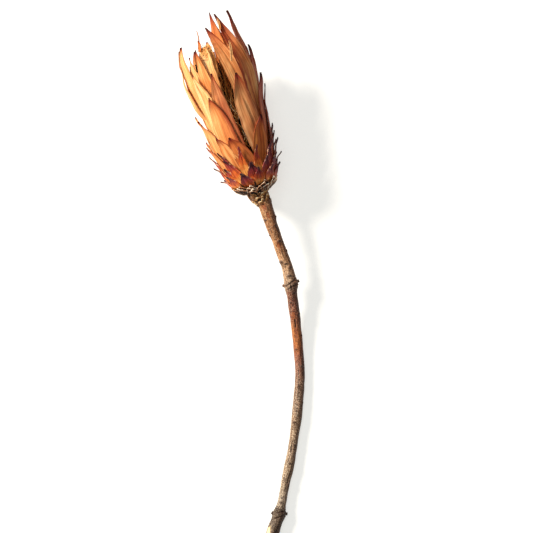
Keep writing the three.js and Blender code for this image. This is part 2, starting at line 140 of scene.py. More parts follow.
def seeded_random(seed):
    """The same sequence of numbers from -1 to 1 for the same seed."""
    state = seed
    while True:
        state = (state * 1664525 + 1013904223) % 4294967296
        yield 2 * state / 4294967296 - 1


# Scars of fallen leaves: distance from the neck, degrees from the left over the top, size. Each is a
# low crescent whose steep side faces the head.
LEAF_SCARS = [
    (17.2, 163, 1.2), (17.4, 38, 1.0), (22, 120, 0.8), (26.5, 20, 0.9), (31.3, 100, 1.3), (38, 160, 0.8),
    (43, 38, 1.5), (45, 83, 0.9), (47.4, 120, 1.2), (52.1, 84, 1.1), (30, 250, 1.1), (41, 290, 1.0),
    (23, 300, 0.9), (62.5, 105, 1.1), (68, 60, 0.9), (75, 140, 1.2), (88, 160, 0.9), (96, 60, 0.8),
    (106, 110, 0.9), (118, 80, 1.0), (127, 140, 0.9), (139, 65, 1.1), (152, 115, 1.0), (163, 85, 0.9),
    (175, 130, 1.1), (186, 75, 1.0), (71, 250, 1.0), (112, 270, 1.0), (147, 240, 1.0), (180, 260, 1.0),
]
upper_knot, lower_knot = (STATIONS[len(NECK) + place][1] for place in (UPPER_KNOT, LOWER_KNOT))
LENTICEL_SEED, LENTICEL_COUNT, LENTICELS_PAST_KNOT = 131, 150, 30
draw = seeded_random(LENTICEL_SEED)
LENTICELS = [
    (
        mix(upper_knot + LENTICELS_PAST_KNOT, STEM_LENGTH, (next(draw) + 1) / 2), 180 * next(draw),
        0.7 + 0.3 * next(draw),
    )
    for _ in range(LENTICEL_COUNT)
]
# Form of both kinds of mark, as shares of its size: half width, steep side, long side and height, and
# then how dark it is.
MARKS = [(LEAF_SCARS, 1.1, 0.32, 1.1, 0.55, 1), (LENTICELS, 0.32, 0.28, 0.3, 0.12, 0.7)]
# Cracks in the bark, from one (distance, degrees) to another, and half their width in mm: one slants
# across the upper knot and the others run along the stem.
CRACKS = [
    (58.9, 28, 55.6, 126, 0.45), (60.6, 60, 57.8, 140, 0.34), (57.5, 84, 61.0, 96, 0.28),
    (78.8, 84, 83.0, 82, 0.42), (64, 250, 70, 244, 0.35), (97, 120, 101, 117, 0.3),
    (150, 70, 157, 74, 0.3), (168, 120, 175, 116, 0.3), (193, 60, 190.5, 150, 0.4),
    (196.5, 60, 194, 120, 0.3), (STEM_LENGTH - 16, 122, STEM_LENGTH - 10, 112, 0.6),
]
# Where the outer bark has flaked off the red-orange bark under it: distance, degrees, half length, half
# width in degrees.
FLAKES = [
    (10, 72, 3.4, 26), (15.5, 84, 2.2, 16), (33.6, 80, 3.6, 20), (76.4, 76, 2.8, 24), (86, 80, 4.6, 24),
    (67, 230, 4, 30), (146, 240, 4, 24), (STEM_LENGTH - 14, 40, 3.4, 26),
]
DEGREE_MM = 0.055  # bark that one degree covers
CRACK_DEPTH, CRACK_REACH, MARK_CURVE = 0.65, 8, 0.35
FLAKE_DEPTH, FLAKE_RAGGED, FLAKE_SOLID, FLAKE_EDGE = 0.12, 0.45, 0.6, 0.5
# Unevenness of the bark: height in mm, how fine it is round the stem and along it, and where its noise
# starts. It grows towards the neck.
BARK_NOISE = [(0.22, 2.2, 0.16, 0), (0.11, 7, 0.22, 40), (0.08, 11, 1.3, 80)]
NECK_NOISE, NECK_NOISE_AT, NECK_NOISE_REACH = 1.6, 3, 7
# Knots are ringed by small ridges, which slant and wander a little.
UPPER_KNOT_REACH, LOWER_KNOT_REACH, KNOT_RIDGE, KNOT_RIDGE_GAP = 4.2, 3.4, 0.2, 1.3
KNOT_SLANT, KNOT_SHIFT, KNOT_WANDER = 0.5, 1, 2


def turned_from(degrees, azimuth):
    """Degrees from azimuth to degrees, from -180 to 180."""
    return (degrees - azimuth + 180) % 360 - 180


def from_line(s, degrees, line):
    """Distance in mm from a crack's line, on the bark laid flat."""
    s1, d1, s2, d2, _ = line
    along_s, along_turn = s2 - s1, (d2 - d1) * DEGREE_MM
    off_s, off_turn = s - s1, turned_from(degrees, d1) * DEGREE_MM
    t = (off_s * along_s + off_turn * along_turn) / (along_s**2 + along_turn**2)
    t = min(max(t, 0), 1)
    return math.hypot(off_s - t * along_s, off_turn - t * along_turn)


def flaked(s, degrees):
    """How much of the outer bark is gone at a place, from 0 to 1."""
    most = 0
    for at, azimuth, half_length, half_width in FLAKES:
        if abs(s - at) > 2 * half_length:
            continue
        off = math.hypot((s - at) / half_length, turned_from(degrees, azimuth) / half_width)
        off += FLAKE_RAGGED * noise.noise((s * 0.9, degrees * 0.06, at))
        most = max(most, 1 - smooth((off - FLAKE_SOLID) / FLAKE_EDGE))
    return most


def bark_relief(s, turn):
    """Height of the bark in mm, and how much of a scar or lenticel is there, from 0 to 1."""
    c, n = math.cos(turn), math.sin(turn)
    rough = 1 + NECK_NOISE * math.exp(-((s - NECK_NOISE_AT) / NECK_NOISE_REACH) ** 2)
    height = 0
    for high, around, lengthwise, start in BARK_NOISE:
        height += high * noise.noise((around * c, around * n, s * lengthwise + start)) * rough
    for knot, far in ((upper_knot, UPPER_KNOT_REACH), (lower_knot, LOWER_KNOT_REACH)):
        gap = s - knot + KNOT_SLANT * c
        if abs(gap) < 3 * far:
            near = math.exp(-((gap + KNOT_SHIFT) / far) ** 2)
            wander = KNOT_WANDER * noise.noise((c, n, s * 0.3))
            height += KNOT_RIDGE * near * math.sin(gap * 2 * math.pi / KNOT_RIDGE_GAP + wander)
    mark = 0
    degrees = math.degrees(turn)
    for places, wide, steep, tail, high, dark in MARKS:
        for at, azimuth, size in places:
            gap = s - at
            if abs(gap) > 4 * size:
                continue
            aside = turned_from(degrees, azimuth) * DEGREE_MM / (wide * size)
            if abs(aside) > 2.5:
                continue
            gap -= MARK_CURVE * aside * aside * size
            shape = math.exp(-((gap / ((tail if gap > 0 else steep) * size)) ** 2) - aside * aside)
            height += high * size * shape
            mark = max(mark, shape * dark)
    for line in CRACKS:
        if abs(s - line[0]) < CRACK_REACH:
            open_here = math.exp(-((from_line(s, degrees, line) / line[4]) ** 2))
            height -= CRACK_DEPTH * open_here
            mark = max(mark, open_here)
    return height - FLAKE_DEPTH * flaked(s, degrees), mark


def add_attribute(piece, name, kind, values):
    """Gives a piece's points an attribute, as one flat list of numbers."""
    made = piece.data.attributes.new(name, kind, "POINT")
    made.data.foreach_set("vector" if kind == "FLOAT_VECTOR" else "value", values)


WELD = 0.02 * MM
SHARP = math.radians(50)


def close_rolled():
    """Closes the seam and both ends of the active grid, rolled up to a tube, and turns it outwards."""
    bpy.ops.object.mode_set(mode="EDIT")
    bpy.ops.mesh.select_all(action="SELECT")
    bpy.ops.mesh.remove_doubles(threshold=WELD)
    bpy.ops.mesh.fill_holes(sides=0)
    bpy.ops.mesh.normals_make_consistent(inside=False)
    bpy.ops.object.mode_set(mode="OBJECT")
    bpy.ops.object.shade_smooth_by_angle(angle=SHARP)


FLOOR_CLEAR = 0.02
bpy.ops.mesh.primitive_grid_add(x_subdivisions=60, y_subdivisions=560, size=2)
stem = bpy.context.object
stem.name = "stem_shaft"
straight, marks, flakes = [], [], []
for point in stem.data.vertices:
    turn = math.pi * point.co.x
    s = STEM_LENGTH * (point.co.y + 1) / 2
    middle, radius, left, up = stem_frame(s)
    relief, mark = bark_relief(s, turn)
    radius += relief
    place = middle + (left * math.cos(turn) + up * math.sin(turn)) * radius
    place.z = max(place.z, FLOOR_CLEAR)
    point.co = place * MM
    straight += [radius * math.cos(turn), radius * math.sin(turn), s]
    marks.append(mark)
    flakes.append(flaked(s, math.degrees(turn)))
add_attribute(stem, "straight", "FLOAT_VECTOR", straight)
add_attribute(stem, "scar", "FLOAT", marks)
add_attribute(stem, "flaked", "FLOAT", flakes)
close_rolled()
cut_face = max((f for f in stem.data.polygons if len(f.vertices) > 4), key=lambda f: -f.center.y)


def linear(code):
    """An sRGB hex colour as linear red, green, blue and 1."""
    parts = (int(code[i:i + 2], 16) / 255 for i in (1, 3, 5))
    return (*(c / 12.92 if c <= 0.04045 else ((c + 0.055) / 1.055) ** 2.4 for c in parts), 1)


def add_node(tree, kind, settings, inputs, output=0):
    """Adds a node, sets it, links or sets its inputs, and returns its output of that number."""
    node = tree.nodes.new("ShaderNode" + kind)
    for name, value in settings.items():
        if name == "stops":
            elements = node.color_ramp.elements
            while len(elements) < len(value):
                elements.new(1)
            for element, (place, colour) in zip(elements, value):
                element.position = place
                element.color = linear(colour)
        else:
            setattr(node, name, value)
    for name, value in inputs.items():
        if isinstance(value, bpy.types.NodeSocket):
            tree.links.new(value, node.inputs[name])
        else:
            node.inputs[name].default_value = linear(value) if isinstance(value, str) else value
    return node.outputs[output] if node.outputs else node


def empty_material(name):
    """A new material without nodes, and its node tree."""
    material = bpy.data.materials.new(name)
    material.use_nodes = True
    material.node_tree.nodes.clear()
    return material, material.node_tree


def attribute(tree, name, output):
    """Reads an attribute of the mesh: output 1 is its vector and 2 its number."""
    return add_node(tree, "Attribute", {"attribute_name": name}, {}, output)


def reckon(tree, operation, *values):
    return add_node(tree, "Math", {"operation": operation}, dict(enumerate(values)))


def blended(tree, how, share, under, over):
    return add_node(tree, "MixRGB", {"blend_type": how}, {0: share, 1: under, 2: over})


def ramp(tree, share, stops):
    return add_node(tree, "ValToRGB", {"stops": stops}, {0: share})


def stretched(tree, place, scales):
    return add_node(tree, "VectorMath", {"operation": "MULTIPLY"}, {0: place, 1: scales})


def noise_texture(tree, place, scale, detail, roughness=0.5):
    return add_node(tree, "TexNoise", {}, {
        "Vector": place, "Scale": scale, "Detail": detail, "Roughness": roughness,
    })


# Bark of a dried twig: dull, with grain drawn out along the stem. It is greyest at the knots, orange
# below the upper one, darker on its +X side as painted shade away from the key light, and has dark
# scars and pale bare wood near the foot.
bark, tree = empty_material("dried_twig_bark")
place = attribute(tree, "straight", 1)
scar = attribute(tree, "scar", 2)
distance = add_node(tree, "SeparateXYZ", {}, {0: place}, 2)
share = reckon(tree, "DIVIDE", distance, STEM_LENGTH)
stained = noise_texture(tree, place, 0.11, 2.0)
shift = reckon(tree, "MULTIPLY_ADD", stained, 0.04, -0.02)
shifted = reckon(tree, "ADD", share, shift)
along_stem = ramp(tree, shifted, [
    (0.0, "#85593a"), (0.05, "#b0814e"), (0.1, "#ab7646"), (0.17, "#c09062"), (0.235, "#ceae8c"),
    (0.27, "#a0876e"), (0.285, "#7e4c34"), (0.36, "#8f5236"), (0.39, "#c07c3c"), (0.44, "#b46c38"),
    (0.47, "#986048"), (0.54, "#8a6a54"), (0.66, "#94795e"), (0.8, "#9e8a72"), (0.845, "#b2a898"),
    (0.862, "#9a8e7c"), (0.874, "#564638"), (0.93, "#75634f"), (1.0, "#7e6c58"),
])
grain_place = stretched(tree, place, (1.0, 1.0, 0.09))
grain = noise_texture(tree, grain_place, 1.6, 5.0, 0.65)
grain_dark = ramp(tree, grain, [(0.36, "#5a4030"), (0.53, "#f4e6da"), (0.66, "#ffffff")])
grained = blended(tree, "MULTIPLY", 0.95, along_stem, grain_dark)
speck = noise_texture(tree, place, 1.5, 3.0, 0.7)
speck_dark = ramp(tree, speck, [(0.41, "#4a3020"), (0.48, "#ffffff")])
specked = blended(tree, "MULTIPLY", 0.8, grained, speck_dark)
dusty = ramp(tree, speck, [(0.52, "#000000"), (0.62, "#ffffff")])
dusted = blended(tree, "MIX", dusty, specked, "#ddccae")
how_dusty = ramp(tree, shifted, [
    (0.0, "#8c8c8c"), (0.2, "#8c8c8c"), (0.27, "#b4b4b4"), (0.3, "#909090"), (0.34, "#989898"),
    (0.41, "#303030"), (0.45, "#404040"), (0.56, "#d0d0d0"), (0.86, "#dcdcdc"), (0.876, "#8c8c8c"),
])
half_dusted = blended(tree, "MIX", how_dusty, specked, dusted)
bare = attribute(tree, "flaked", 2)
bare_mottled = ramp(tree, speck, [(0.4, "#5e2c18"), (0.6, "#a05c2e")])
at_foot = ramp(tree, share, [(0.88, "#000000"), (0.9, "#ffffff")])
bare_wood = blended(tree, "MIX", at_foot, bare_mottled, "#ecd2a0")
bared = blended(tree, "MIX", bare, half_dusted, bare_wood)
# Painted shade: the bark is darkened on one side, on the stem its +X side, away from the key light.
side = add_node(tree, "SeparateXYZ", {}, {0: place}, 0)
side = reckon(tree, "MULTIPLY_ADD", side, 0.13, 0.5)
painted_side_shade = ramp(tree, side, [(0.15, "#a8826a"), (0.6, "#ffffff")])
bared = blended(tree, "MULTIPLY", 0.9, bared, painted_side_shade)
scar_dark = ramp(tree, scar, [(0.1, "#000000"), (0.6, "#e8e8e8")])
bark_colour = blended(tree, "MIX", scar_dark, bared, "#3a2217")
bark_bump = add_node(tree, "Bump", {}, {"Strength": 0.9, "Distance": 0.16 * MM, "Height": grain})
bark_shader = add_node(tree, "BsdfPrincipled", {}, {
    "Base Color": bark_colour, "Roughness": 0.62, "Specular IOR Level": 0.35, "Normal": bark_bump,
})
add_node(tree, "OutputMaterial", {}, {"Surface": bark_shader})

# The cut end shows dry wood: pale, with a darker pith in the middle and fine rings.
wood, tree = empty_material("cut_dry_wood")
place = attribute(tree, "straight", 1)
flat_place = stretched(tree, place, (1.0, 1.0, 0.0))
from_pith = add_node(tree, "VectorMath", {"operation": "LENGTH"}, {0: flat_place}, 1)
pith_share = reckon(tree, "DIVIDE", from_pith, 3.8)
wood_colour = ramp(tree, pith_share, [
    (0.0, "#8b6238"), (0.12, "#a77c4c"), (0.2, "#d9bd8d"), (0.5, "#cfae7b"), (0.56, "#b8925c"),
    (0.6, "#d6b986"), (0.85, "#c7a46f"), (0.92, "#6c4a2f"),
])
fibre = noise_texture(tree, place, 4.0, 3.0)
fibre_dark = ramp(tree, fibre, [(0.3, "#b59a78"), (0.6, "#ffffff")])
wood_grained = blended(tree, "MULTIPLY", 0.8, wood_colour, fibre_dark)
wood_shader = add_node(tree, "BsdfPrincipled", {}, {
    "Base Color": wood_grained, "Roughness": 0.85, "Specular IOR Level": 0.2,
})
add_node(tree, "OutputMaterial", {}, {"Surface": wood_shader})
stem.data.materials.append(bark)
stem.data.materials.append(wood)
cut_face.material_index = 1
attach(stem, "root")
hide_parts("stem")


# Stubs: what is left of two side twigs at each knot. They died and broke off short, and each end is
# hollow and rough. They are of the stem's own wood and bark.
STUB_LENGTH, STUB_ROOT, STUB_TIP, STUB_PROUD = 3.2, 1.5, 0.8, 0.9
STUB_FORWARD = math.radians(12)
# The left stubs sit further from the head, by the lag. A rim is left round the hollow of each end.
STUB_LAG, STUB_RIM, STUB_EDGE, STUB_HOLLOW = 1.6, 0.25, 0.15, 0.45
STUB_ROUGH, STUB_ROUGH_FINENESS = 0.3, 0.9
STUB_GRAIN = 1.7  # how much closer the grain lies on a stub than on the stem
STUB_SCAR, STUB_SCAR_FROM, STUB_SCAR_FADE = 0.7, 0.8, 0.5


def start_editing(piece, chosen):
    """Opens a piece in edit mode with only the faces selected that chosen(face) picks."""
    bpy.ops.object.select_all(action="DESELECT")
    piece.select_set(True)
    bpy.context.view_layer.objects.active = piece
    bpy.ops.object.mode_set(mode="EDIT")
    bpy.ops.mesh.select_mode(type="FACE")
    bpy.ops.mesh.select_all(action="DESELECT")
    bpy.ops.object.mode_set(mode="OBJECT")
    for face in piece.data.polygons:
        face.select = chosen(face)
    bpy.ops.object.mode_set(mode="EDIT")


for knot, station in (("upper", UPPER_KNOT), ("lower", LOWER_KNOT)):
    place = len(NECK) + station
    before, here, after = (Vector(STATIONS[place + k][0][:3]) for k in (-1, 0, 1))
    to_head = (before - after).normalized()
    across = to_head.cross(Vector((0, 0, 1))).normalized()
    for hand, sense in (("left", -1), ("right", 1)):
        axis = across * sense * math.cos(STUB_FORWARD) + to_head * math.sin(STUB_FORWARD)
        middle = here + axis * (STATIONS[place][0][3] + STUB_PROUD - STUB_LENGTH / 2)
        if hand == "left":
            middle -= to_head * STUB_LAG
        bpy.ops.mesh.primitive_cone_add(
            vertices=16, radius1=STUB_ROOT * MM, radius2=STUB_TIP * MM, depth=STUB_LENGTH * MM,
            location=middle * MM, rotation=axis.to_track_quat("Z", "Y").to_euler(),
        )
        stub = bpy.context.object
        stub.name = f"{knot}_knot_stub_{hand}"
        start_editing(stub, lambda face: face.normal.z > 0.9)
        bpy.ops.mesh.inset(thickness=STUB_RIM * MM)
        bpy.ops.mesh.inset(thickness=STUB_EDGE * MM, depth=-STUB_HOLLOW * MM)
        bpy.ops.mesh.select_all(action="SELECT")
        bpy.ops.mesh.subdivide(number_cuts=2)
        bpy.ops.object.mode_set(mode="OBJECT")
        bpy.ops.object.transform_apply(location=True, rotation=True, scale=True)
        for point in stub.data.vertices:
            spot = point.co / MM * STUB_ROUGH_FINENESS
            rough = Vector(noise.noise(spot + Vector((k * 9.0, 0, 0))) for k in range(3))
            point.co += rough * STUB_ROUGH * MM
        local = [c for point in stub.data.vertices for c in (
            (point.co / MM - here).dot(across) * STUB_GRAIN, (point.co.z / MM - here.z) * STUB_GRAIN,
            STATIONS[place][1] + (point.co / MM - here).dot(to_head),
        )]
        add_attribute(stub, "straight", "FLOAT_VECTOR", local)
        out = [(point.co / MM - here).dot(axis) / STATIONS[place][0][3] for point in stub.data.vertices]
        add_attribute(stub, "scar", "FLOAT", [
            STUB_SCAR * smooth((far - STUB_SCAR_FROM) / STUB_SCAR_FADE) for far in out
        ])
        add_attribute(stub, "flaked", "FLOAT", [0] * len(stub.data.vertices))
        bpy.ops.object.shade_smooth_by_angle(angle=SHARP)
        stub.data.materials.append(bark)
        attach(stub, "root")
        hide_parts("stem")


# Neck scales: the crusty tan shingles round the swollen end of the stem, small dead leaf bases that
# overlap towards the head. Corky and thick, curled off the bark at their worn ends.
bpy.ops.mesh.primitive_grid_add(x_subdivisions=6, y_subdivisions=8, size=2)
small_blank = bpy.context.object
small_blank.name = "small_blank"
FLOOR_GAP = 0.2
SHEET_SHARP = math.radians(60)


def copy_of(blank, name):
    """A copy of a piece with its own mesh, selected and active alone."""
    piece = blank.copy()
    piece.data = blank.data.copy()
    piece.name = name
    bpy.context.collection.objects.link(piece)
    bpy.ops.object.select_all(action="DESELECT")
    piece.select_set(True)
    bpy.context.view_layer.objects.active = piece
    return piece


def shape_sheet(piece, place, thick, tone, number, length, half_width):
    """Bends a flat blank to place(u, v) in mm and gives it thickness and what its material reads."""
    sheet, tones = [], []
    for point in piece.data.vertices:
        u, v = (point.co.y + 1) / 2, point.co.x
        spot = place(u, v)
        spot.z = max(spot.z, FLOOR_GAP)
        point.co = spot * MM
        sheet += [v * half_width + 30 * number, u * length, (1 - u) * length]
        tones.append(tone(u, v))
    add_attribute(piece, "sheet", "FLOAT_VECTOR", sheet)
    add_attribute(piece, "tone", "FLOAT", tones)
    solid = piece.modifiers.new("thickness", "SOLIDIFY")
    solid.thickness = thick * MM
    solid.offset = 0
    bpy.ops.object.modifier_apply(modifier="thickness")
    bpy.ops.object.shade_smooth_by_angle(angle=SHEET_SHARP)


def join_pieces(pieces, name):
    """Joins pieces into the first one."""
    bpy.ops.object.select_all(action="DESELECT")
    for piece in pieces:
        piece.select_set(True)
    bpy.context.view_layer.objects.active = pieces[0]
    bpy.ops.object.join()
    pieces[0].name = name
    return pieces[0]


# Rings of shingles: distance from the neck, how many, length, half width and how far the tip stands off.
NECK_SCALE_ROWS = [
    (1.6, 13, 3.2, 1.7, 1.0), (3.4, 13, 3.1, 1.7, 1.0), (5.1, 12, 3.0, 1.6, 0.95),
    (6.8, 11, 2.8, 1.5, 0.8), (8.4, 9, 2.6, 1.4, 0.6),
]
NECK_SCALE_THICK, NECK_SCALE_CROWN, NECK_SCALE_SINK, NECK_SCALE_CRUMPLE = 0.42, 0.25, 0.3, 0.5
# How much one varies: its turn as a share of its room, its start, size, lift and twist. Then its age and
# how worn its edge is.
TURN_OFF, START_OFF, SIZE_OFF, LIFT_OFF, TWIST_OFF = 0.5, 0.8, 0.3, 0.45, 0.5
NECK_SCALE_AGE, AGE_OFF, EDGE_WEAR, EDGE_FROM = 0.3, 0.25, 0.4, 0.6
NECK_SCALE_SEED = 211
draw = seeded_random(NECK_SCALE_SEED)
shingles = []
for at, count, long, half_width, lift in NECK_SCALE_ROWS:
    for i in range(count):
        turn = math.radians(360 * (i + TURN_OFF * next(draw)) / count)
        start = at + START_OFF * next(draw)
        size = 1 + SIZE_OFF * next(draw)
        tip_lift = lift * (1 + LIFT_OFF * next(draw))
        twist = TWIST_OFF * next(draw)
        seed = 3 * len(shingles)

        def neck_scale_point(u, v):
            s = start + 1 - long * size * u
            middle, radius, left, up = stem_frame(max(s, 0.05))
            round_end = (1 - 0.35 * u) * math.sqrt(max(1 - max(1.5 * u - 0.5, 0) ** 2, 0.02))
            side = turn + (v * half_width * size * round_end + twist * u * long) / radius
            rise = radius - NECK_SCALE_SINK + tip_lift * u * u + NECK_SCALE_CROWN * (1 - v * v) * u
            rise += NECK_SCALE_CRUMPLE * noise.noise((u * 3 + seed, v * 2, seed))
            return middle + (left * math.cos(side) + up * math.sin(side)) * rise

        shingle = copy_of(small_blank, "neck_scale")
        age_and_shade = NECK_SCALE_AGE + AGE_OFF * next(draw)

        # Painted shade: each shingle darkens towards its root, where the one over it overlaps it.
        def neck_scale_tone(u, v):
            worn = smooth((max(abs(v), u) - EDGE_FROM) / (1 - EDGE_FROM))
            return age_and_shade * (0.3 + u) + EDGE_WEAR * worn * u

        shape_sheet(
            shingle, neck_scale_point, NECK_SCALE_THICK, neck_scale_tone, seed, long, half_width,
        )
        shingles.append(shingle)
neck_scales = join_pieces(shingles, "neck_scales")

# Corky leaf bases: dull tan, paler where the edge has worn, and darkened to nearly black towards each
# root as painted shade of the hollow under the shingle over it.
cork, tree = empty_material("dry_corky_leaf_base")
place = attribute(tree, "sheet", 1)
age_and_shade = attribute(tree, "tone", 2)
mottle = noise_texture(tree, place, 0.9, 4.0, 0.6)
blend = reckon(tree, "MULTIPLY_ADD", mottle, 0.6, -0.25)
blend = reckon(tree, "ADD", age_and_shade, blend)
cork_colour = ramp(tree, blend, [
    (0.14, "#180b05"), (0.3, "#5e381b"), (0.48, "#9e6a3a"), (0.66, "#cf9f66"), (0.9, "#f6deb0"),
])
cork_bump = add_node(tree, "Bump", {}, {"Strength": 0.6, "Distance": 0.15 * MM, "Height": mottle})
cork_shader = add_node(tree, "BsdfPrincipled", {}, {
    "Base Color": cork_colour, "Roughness": 0.82, "Specular IOR Level": 0.2, "Normal": cork_bump,
})
add_node(tree, "OutputMaterial", {}, {"Surface": cork_shader})
neck_scales.data.materials.append(cork)
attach(neck_scales, "root")
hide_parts("stem")


# Ruff: the ring of tiny pointed scales where neck and head meet. Dry skin, dark brown and darkened to
# nearly black in the middle of each scale as painted shade of the gaps between them, whitish at its thin
# edge, grown in four close rows that lie all ways.
# The head's outline: height and radius. Where it lies it is pressed in to the surface, less the trim.
HEAD_OUTLINE = [
    (0, 6.6), (4, 11), (8, 14.3), (12, 16.5), (16, 17.9), (20, 18.8), (25, 19.5), (30, 19.8),
    (35, 20), (50, 21), (62, 22), (72, 22.6), (82, 22.2), (95, 19.2), (110, 15.4),
]
REST_TRIM = 0.12


def along(table, x):
    """The value at x of a smooth curve through (place, value) pairs that overshoots none of them."""
    if x <= table[0][0]:
        return table[0][1]
    if x >= table[-1][0]:
        return table[-1][1]
    i = max(k for k in range(len(table) - 1) if table[k][0] <= x)

    def slope(k):
        (x0, y0), (x1, y1) = table[k], table[k + 1]
        return (y1 - y0) / (x1 - x0)

    def bend(before, after):
        return 2 * before * after / (before + after) if before * after > 0 else 0

    here = slope(i)
    start = bend(slope(i - 1), here) if i > 0 else here
    end = bend(here, slope(i + 1)) if i + 2 < len(table) else here
    (x0, y0), (x1, y1) = table[i], table[i + 1]
    gap = x1 - x0
    t = (x - x0) / gap
    return (
        y0 * (2 * t**3 - 3 * t**2 + 1) + start * gap * (t**3 - 2 * t**2 + t)
        + y1 * (3 * t**2 - 2 * t**3) + end * gap * (t**3 - t**2)
    )


def ease_out(t):
    return 1 - (1 - min(t, 1)) ** 2


def squeeze(h, azimuth):
    """How far in mm the head is pressed in where it lies on the surface."""
    down = -math.cos(math.radians(azimuth)) * HEAD_UP.z
    if down <= 0:
        return 0
    axis_height = HEAD_BASE.z + h * HEAD_AXIS.z + REST_TRIM
    return max(along(HEAD_OUTLINE, h) - axis_height / down, 0)


# Rows of the ruff: how many, heights of root and tip, root's radius, how far the tip stands off the
# outline, half width, and how far the row is turned. The tips reach higher at the sides of the head.
RUFF_ROWS = [
    (17, 0.6, 3.7, 6.6, 0.6, 2.3, 0), (18, 0, 2.6, 6.2, 0.9, 2.2, 9), (16, -0.5, 1.6, 5.8, 0.9, 2.1, 3),
    (14, -1, 0.8, 5.4, 0.5, 1.9, 14),
]
RUFF_THICK, RUFF_AT, RUFF_SKEW, RUFF_SIDE_RISE, RUFF_LEFT_RISE = 0.3, 8, 16, 2.6, 0.9
RUFF_ROLL, RUFF_CRUMPLE, RUFF_SEED = 0.6, 0.45, 307
# How much one varies: azimuth, height of its tip, how far it stands off and shade.
RUFF_TURN_OFF, RUFF_TIP_OFF, RUFF_STAND_OFF, RUFF_SHADE_OFF = 6, 0.9, 0.5, 0.4
RUFF_ROOT_RISE, RUFF_SHADE = 0.6, 0.5
draw = seeded_random(RUFF_SEED)
ruff_scales = []
for count, root, tip, root_radius, proud, half_width, turned in RUFF_ROWS:
    for i in range(count):
        middle = turned + 360 * i / count + RUFF_TURN_OFF * next(draw)
        aside = math.sin(math.radians(middle))
        side_rise = RUFF_SIDE_RISE * aside**2 + RUFF_LEFT_RISE * max(-aside, 0)
        end = tip + RUFF_TIP_OFF * next(draw) + side_rise
        start = root + RUFF_ROOT_RISE * side_rise
        stand = proud + RUFF_STAND_OFF * next(draw)
        skew = RUFF_SKEW * next(draw)
        seed = 5 * len(ruff_scales)

        def ruff_point(u, v):
            h = mix(start, end, u)
            radius = mix(root_radius, along(HEAD_OUTLINE, h) + stand, ease_out(u * 3))
            crumple = RUFF_CRUMPLE * noise.noise((u * 2 + seed, v * 1.5, seed))
            radius += RUFF_ROLL * v * v * u + crumple
            width = half_width * (1.04 - u ** 1.5)
            azimuth = middle + skew * u * u + math.degrees(v * width / RUFF_AT)
            return head_point(h, radius - squeeze(h, middle), azimuth)

        scale = copy_of(small_blank, "ruff_scale")
        shade = RUFF_SHADE + RUFF_SHADE_OFF * next(draw)
        shape_sheet(scale, ruff_point, RUFF_THICK, lambda u, v: shade, seed, tip - root, half_width)
        ruff_scales.append(scale)
ruff = join_pieces(ruff_scales, "ruff")


def off_middle(tree, across):
    """How far a place is from a sheet's middle line: 0 on it and 1 at both edges."""
    return reckon(tree, "ABSOLUTE", reckon(tree, "MULTIPLY_ADD", across, 2.0, -1.0))


# Dry scale skin: dark brown, with a whitish membrane only at the very edge. Its near-black middle is
# partly painted shade of the gaps between the scales.
skin, tree = empty_material("dry_scale_skin")
spot = add_node(tree, "UVMap", {}, {})
across = add_node(tree, "SeparateXYZ", {}, {0: spot}, 0)
up_scale = add_node(tree, "SeparateXYZ", {}, {0: spot}, 1)
place = attribute(tree, "sheet", 1)
shade = attribute(tree, "tone", 2)
from_middle = off_middle(tree, across)
from_middle = reckon(tree, "MULTIPLY", from_middle, 0.94)
to_end = reckon(tree, "MULTIPLY", up_scale, 1.06)
edge = reckon(tree, "MAXIMUM", from_middle, to_end)
fray = noise_texture(tree, place, 1.6, 3.0)
edge = reckon(tree, "MULTIPLY_ADD", fray, 0.5, edge)
edge = reckon(tree, "MULTIPLY_ADD", edge, 0.7, -0.14)
edge = reckon(tree, "MULTIPLY_ADD", shade, 0.16, edge)
skin_colour = ramp(tree, edge, [
    (0.5, "#0e0502"), (0.66, "#6e3a1e"), (0.75, "#b8825a"), (0.82, "#ffeed4"),
])
skin_shader = add_node(tree, "BsdfPrincipled", {}, {
    "Base Color": skin_colour, "Roughness": 0.65, "Specular IOR Level": 0.1,
})
add_node(tree, "OutputMaterial", {}, {"Surface": skin_shader})
ruff.data.materials.append(skin)
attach(ruff, "root")
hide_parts("stem")


# Receptacle: the swollen end of the stem inside the head, which every scale, bract and floret grows
# from. Dry brown pith and bark, seen only as the dark between the lowest scales.
RECEPTACLE = [  # height and radius
    (-1.2, 5.6), (0.5, 6.3), (2.5, 8.0), (5, 10.4), (7.6, 12.2), (10, 11.8), (12.2, 10.9), (14.5, 10.0),
    (17, 9.2), (19.2, 7.6), (20, 5.0),
]
RECEPTACLE_ROUGH = 0.25
bpy.ops.mesh.primitive_grid_add(x_subdivisions=48, y_subdivisions=24, size=2)
receptacle = bpy.context.object
receptacle.name = "receptacle"
local = []
for point in receptacle.data.vertices:
    azimuth = 180 * point.co.x
    h = mix(RECEPTACLE[0][0], RECEPTACLE[-1][0], (point.co.y + 1) / 2)
    radius = along(RECEPTACLE, h) - squeeze(h, azimuth)
    turn = math.radians(azimuth)
    radius += RECEPTACLE_ROUGH * noise.noise((3 * math.cos(turn), 3 * math.sin(turn), h * 0.7))
    point.co = head_point(h, radius, azimuth) * MM
    local += [radius * math.cos(turn), radius * math.sin(turn), h]
add_attribute(receptacle, "straight", "FLOAT_VECTOR", local)
add_attribute(receptacle, "scar", "FLOAT", [1.0] * len(receptacle.data.vertices))
close_rolled()
receptacle.data.materials.append(bark)
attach(receptacle, "root")
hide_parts("base_scales")


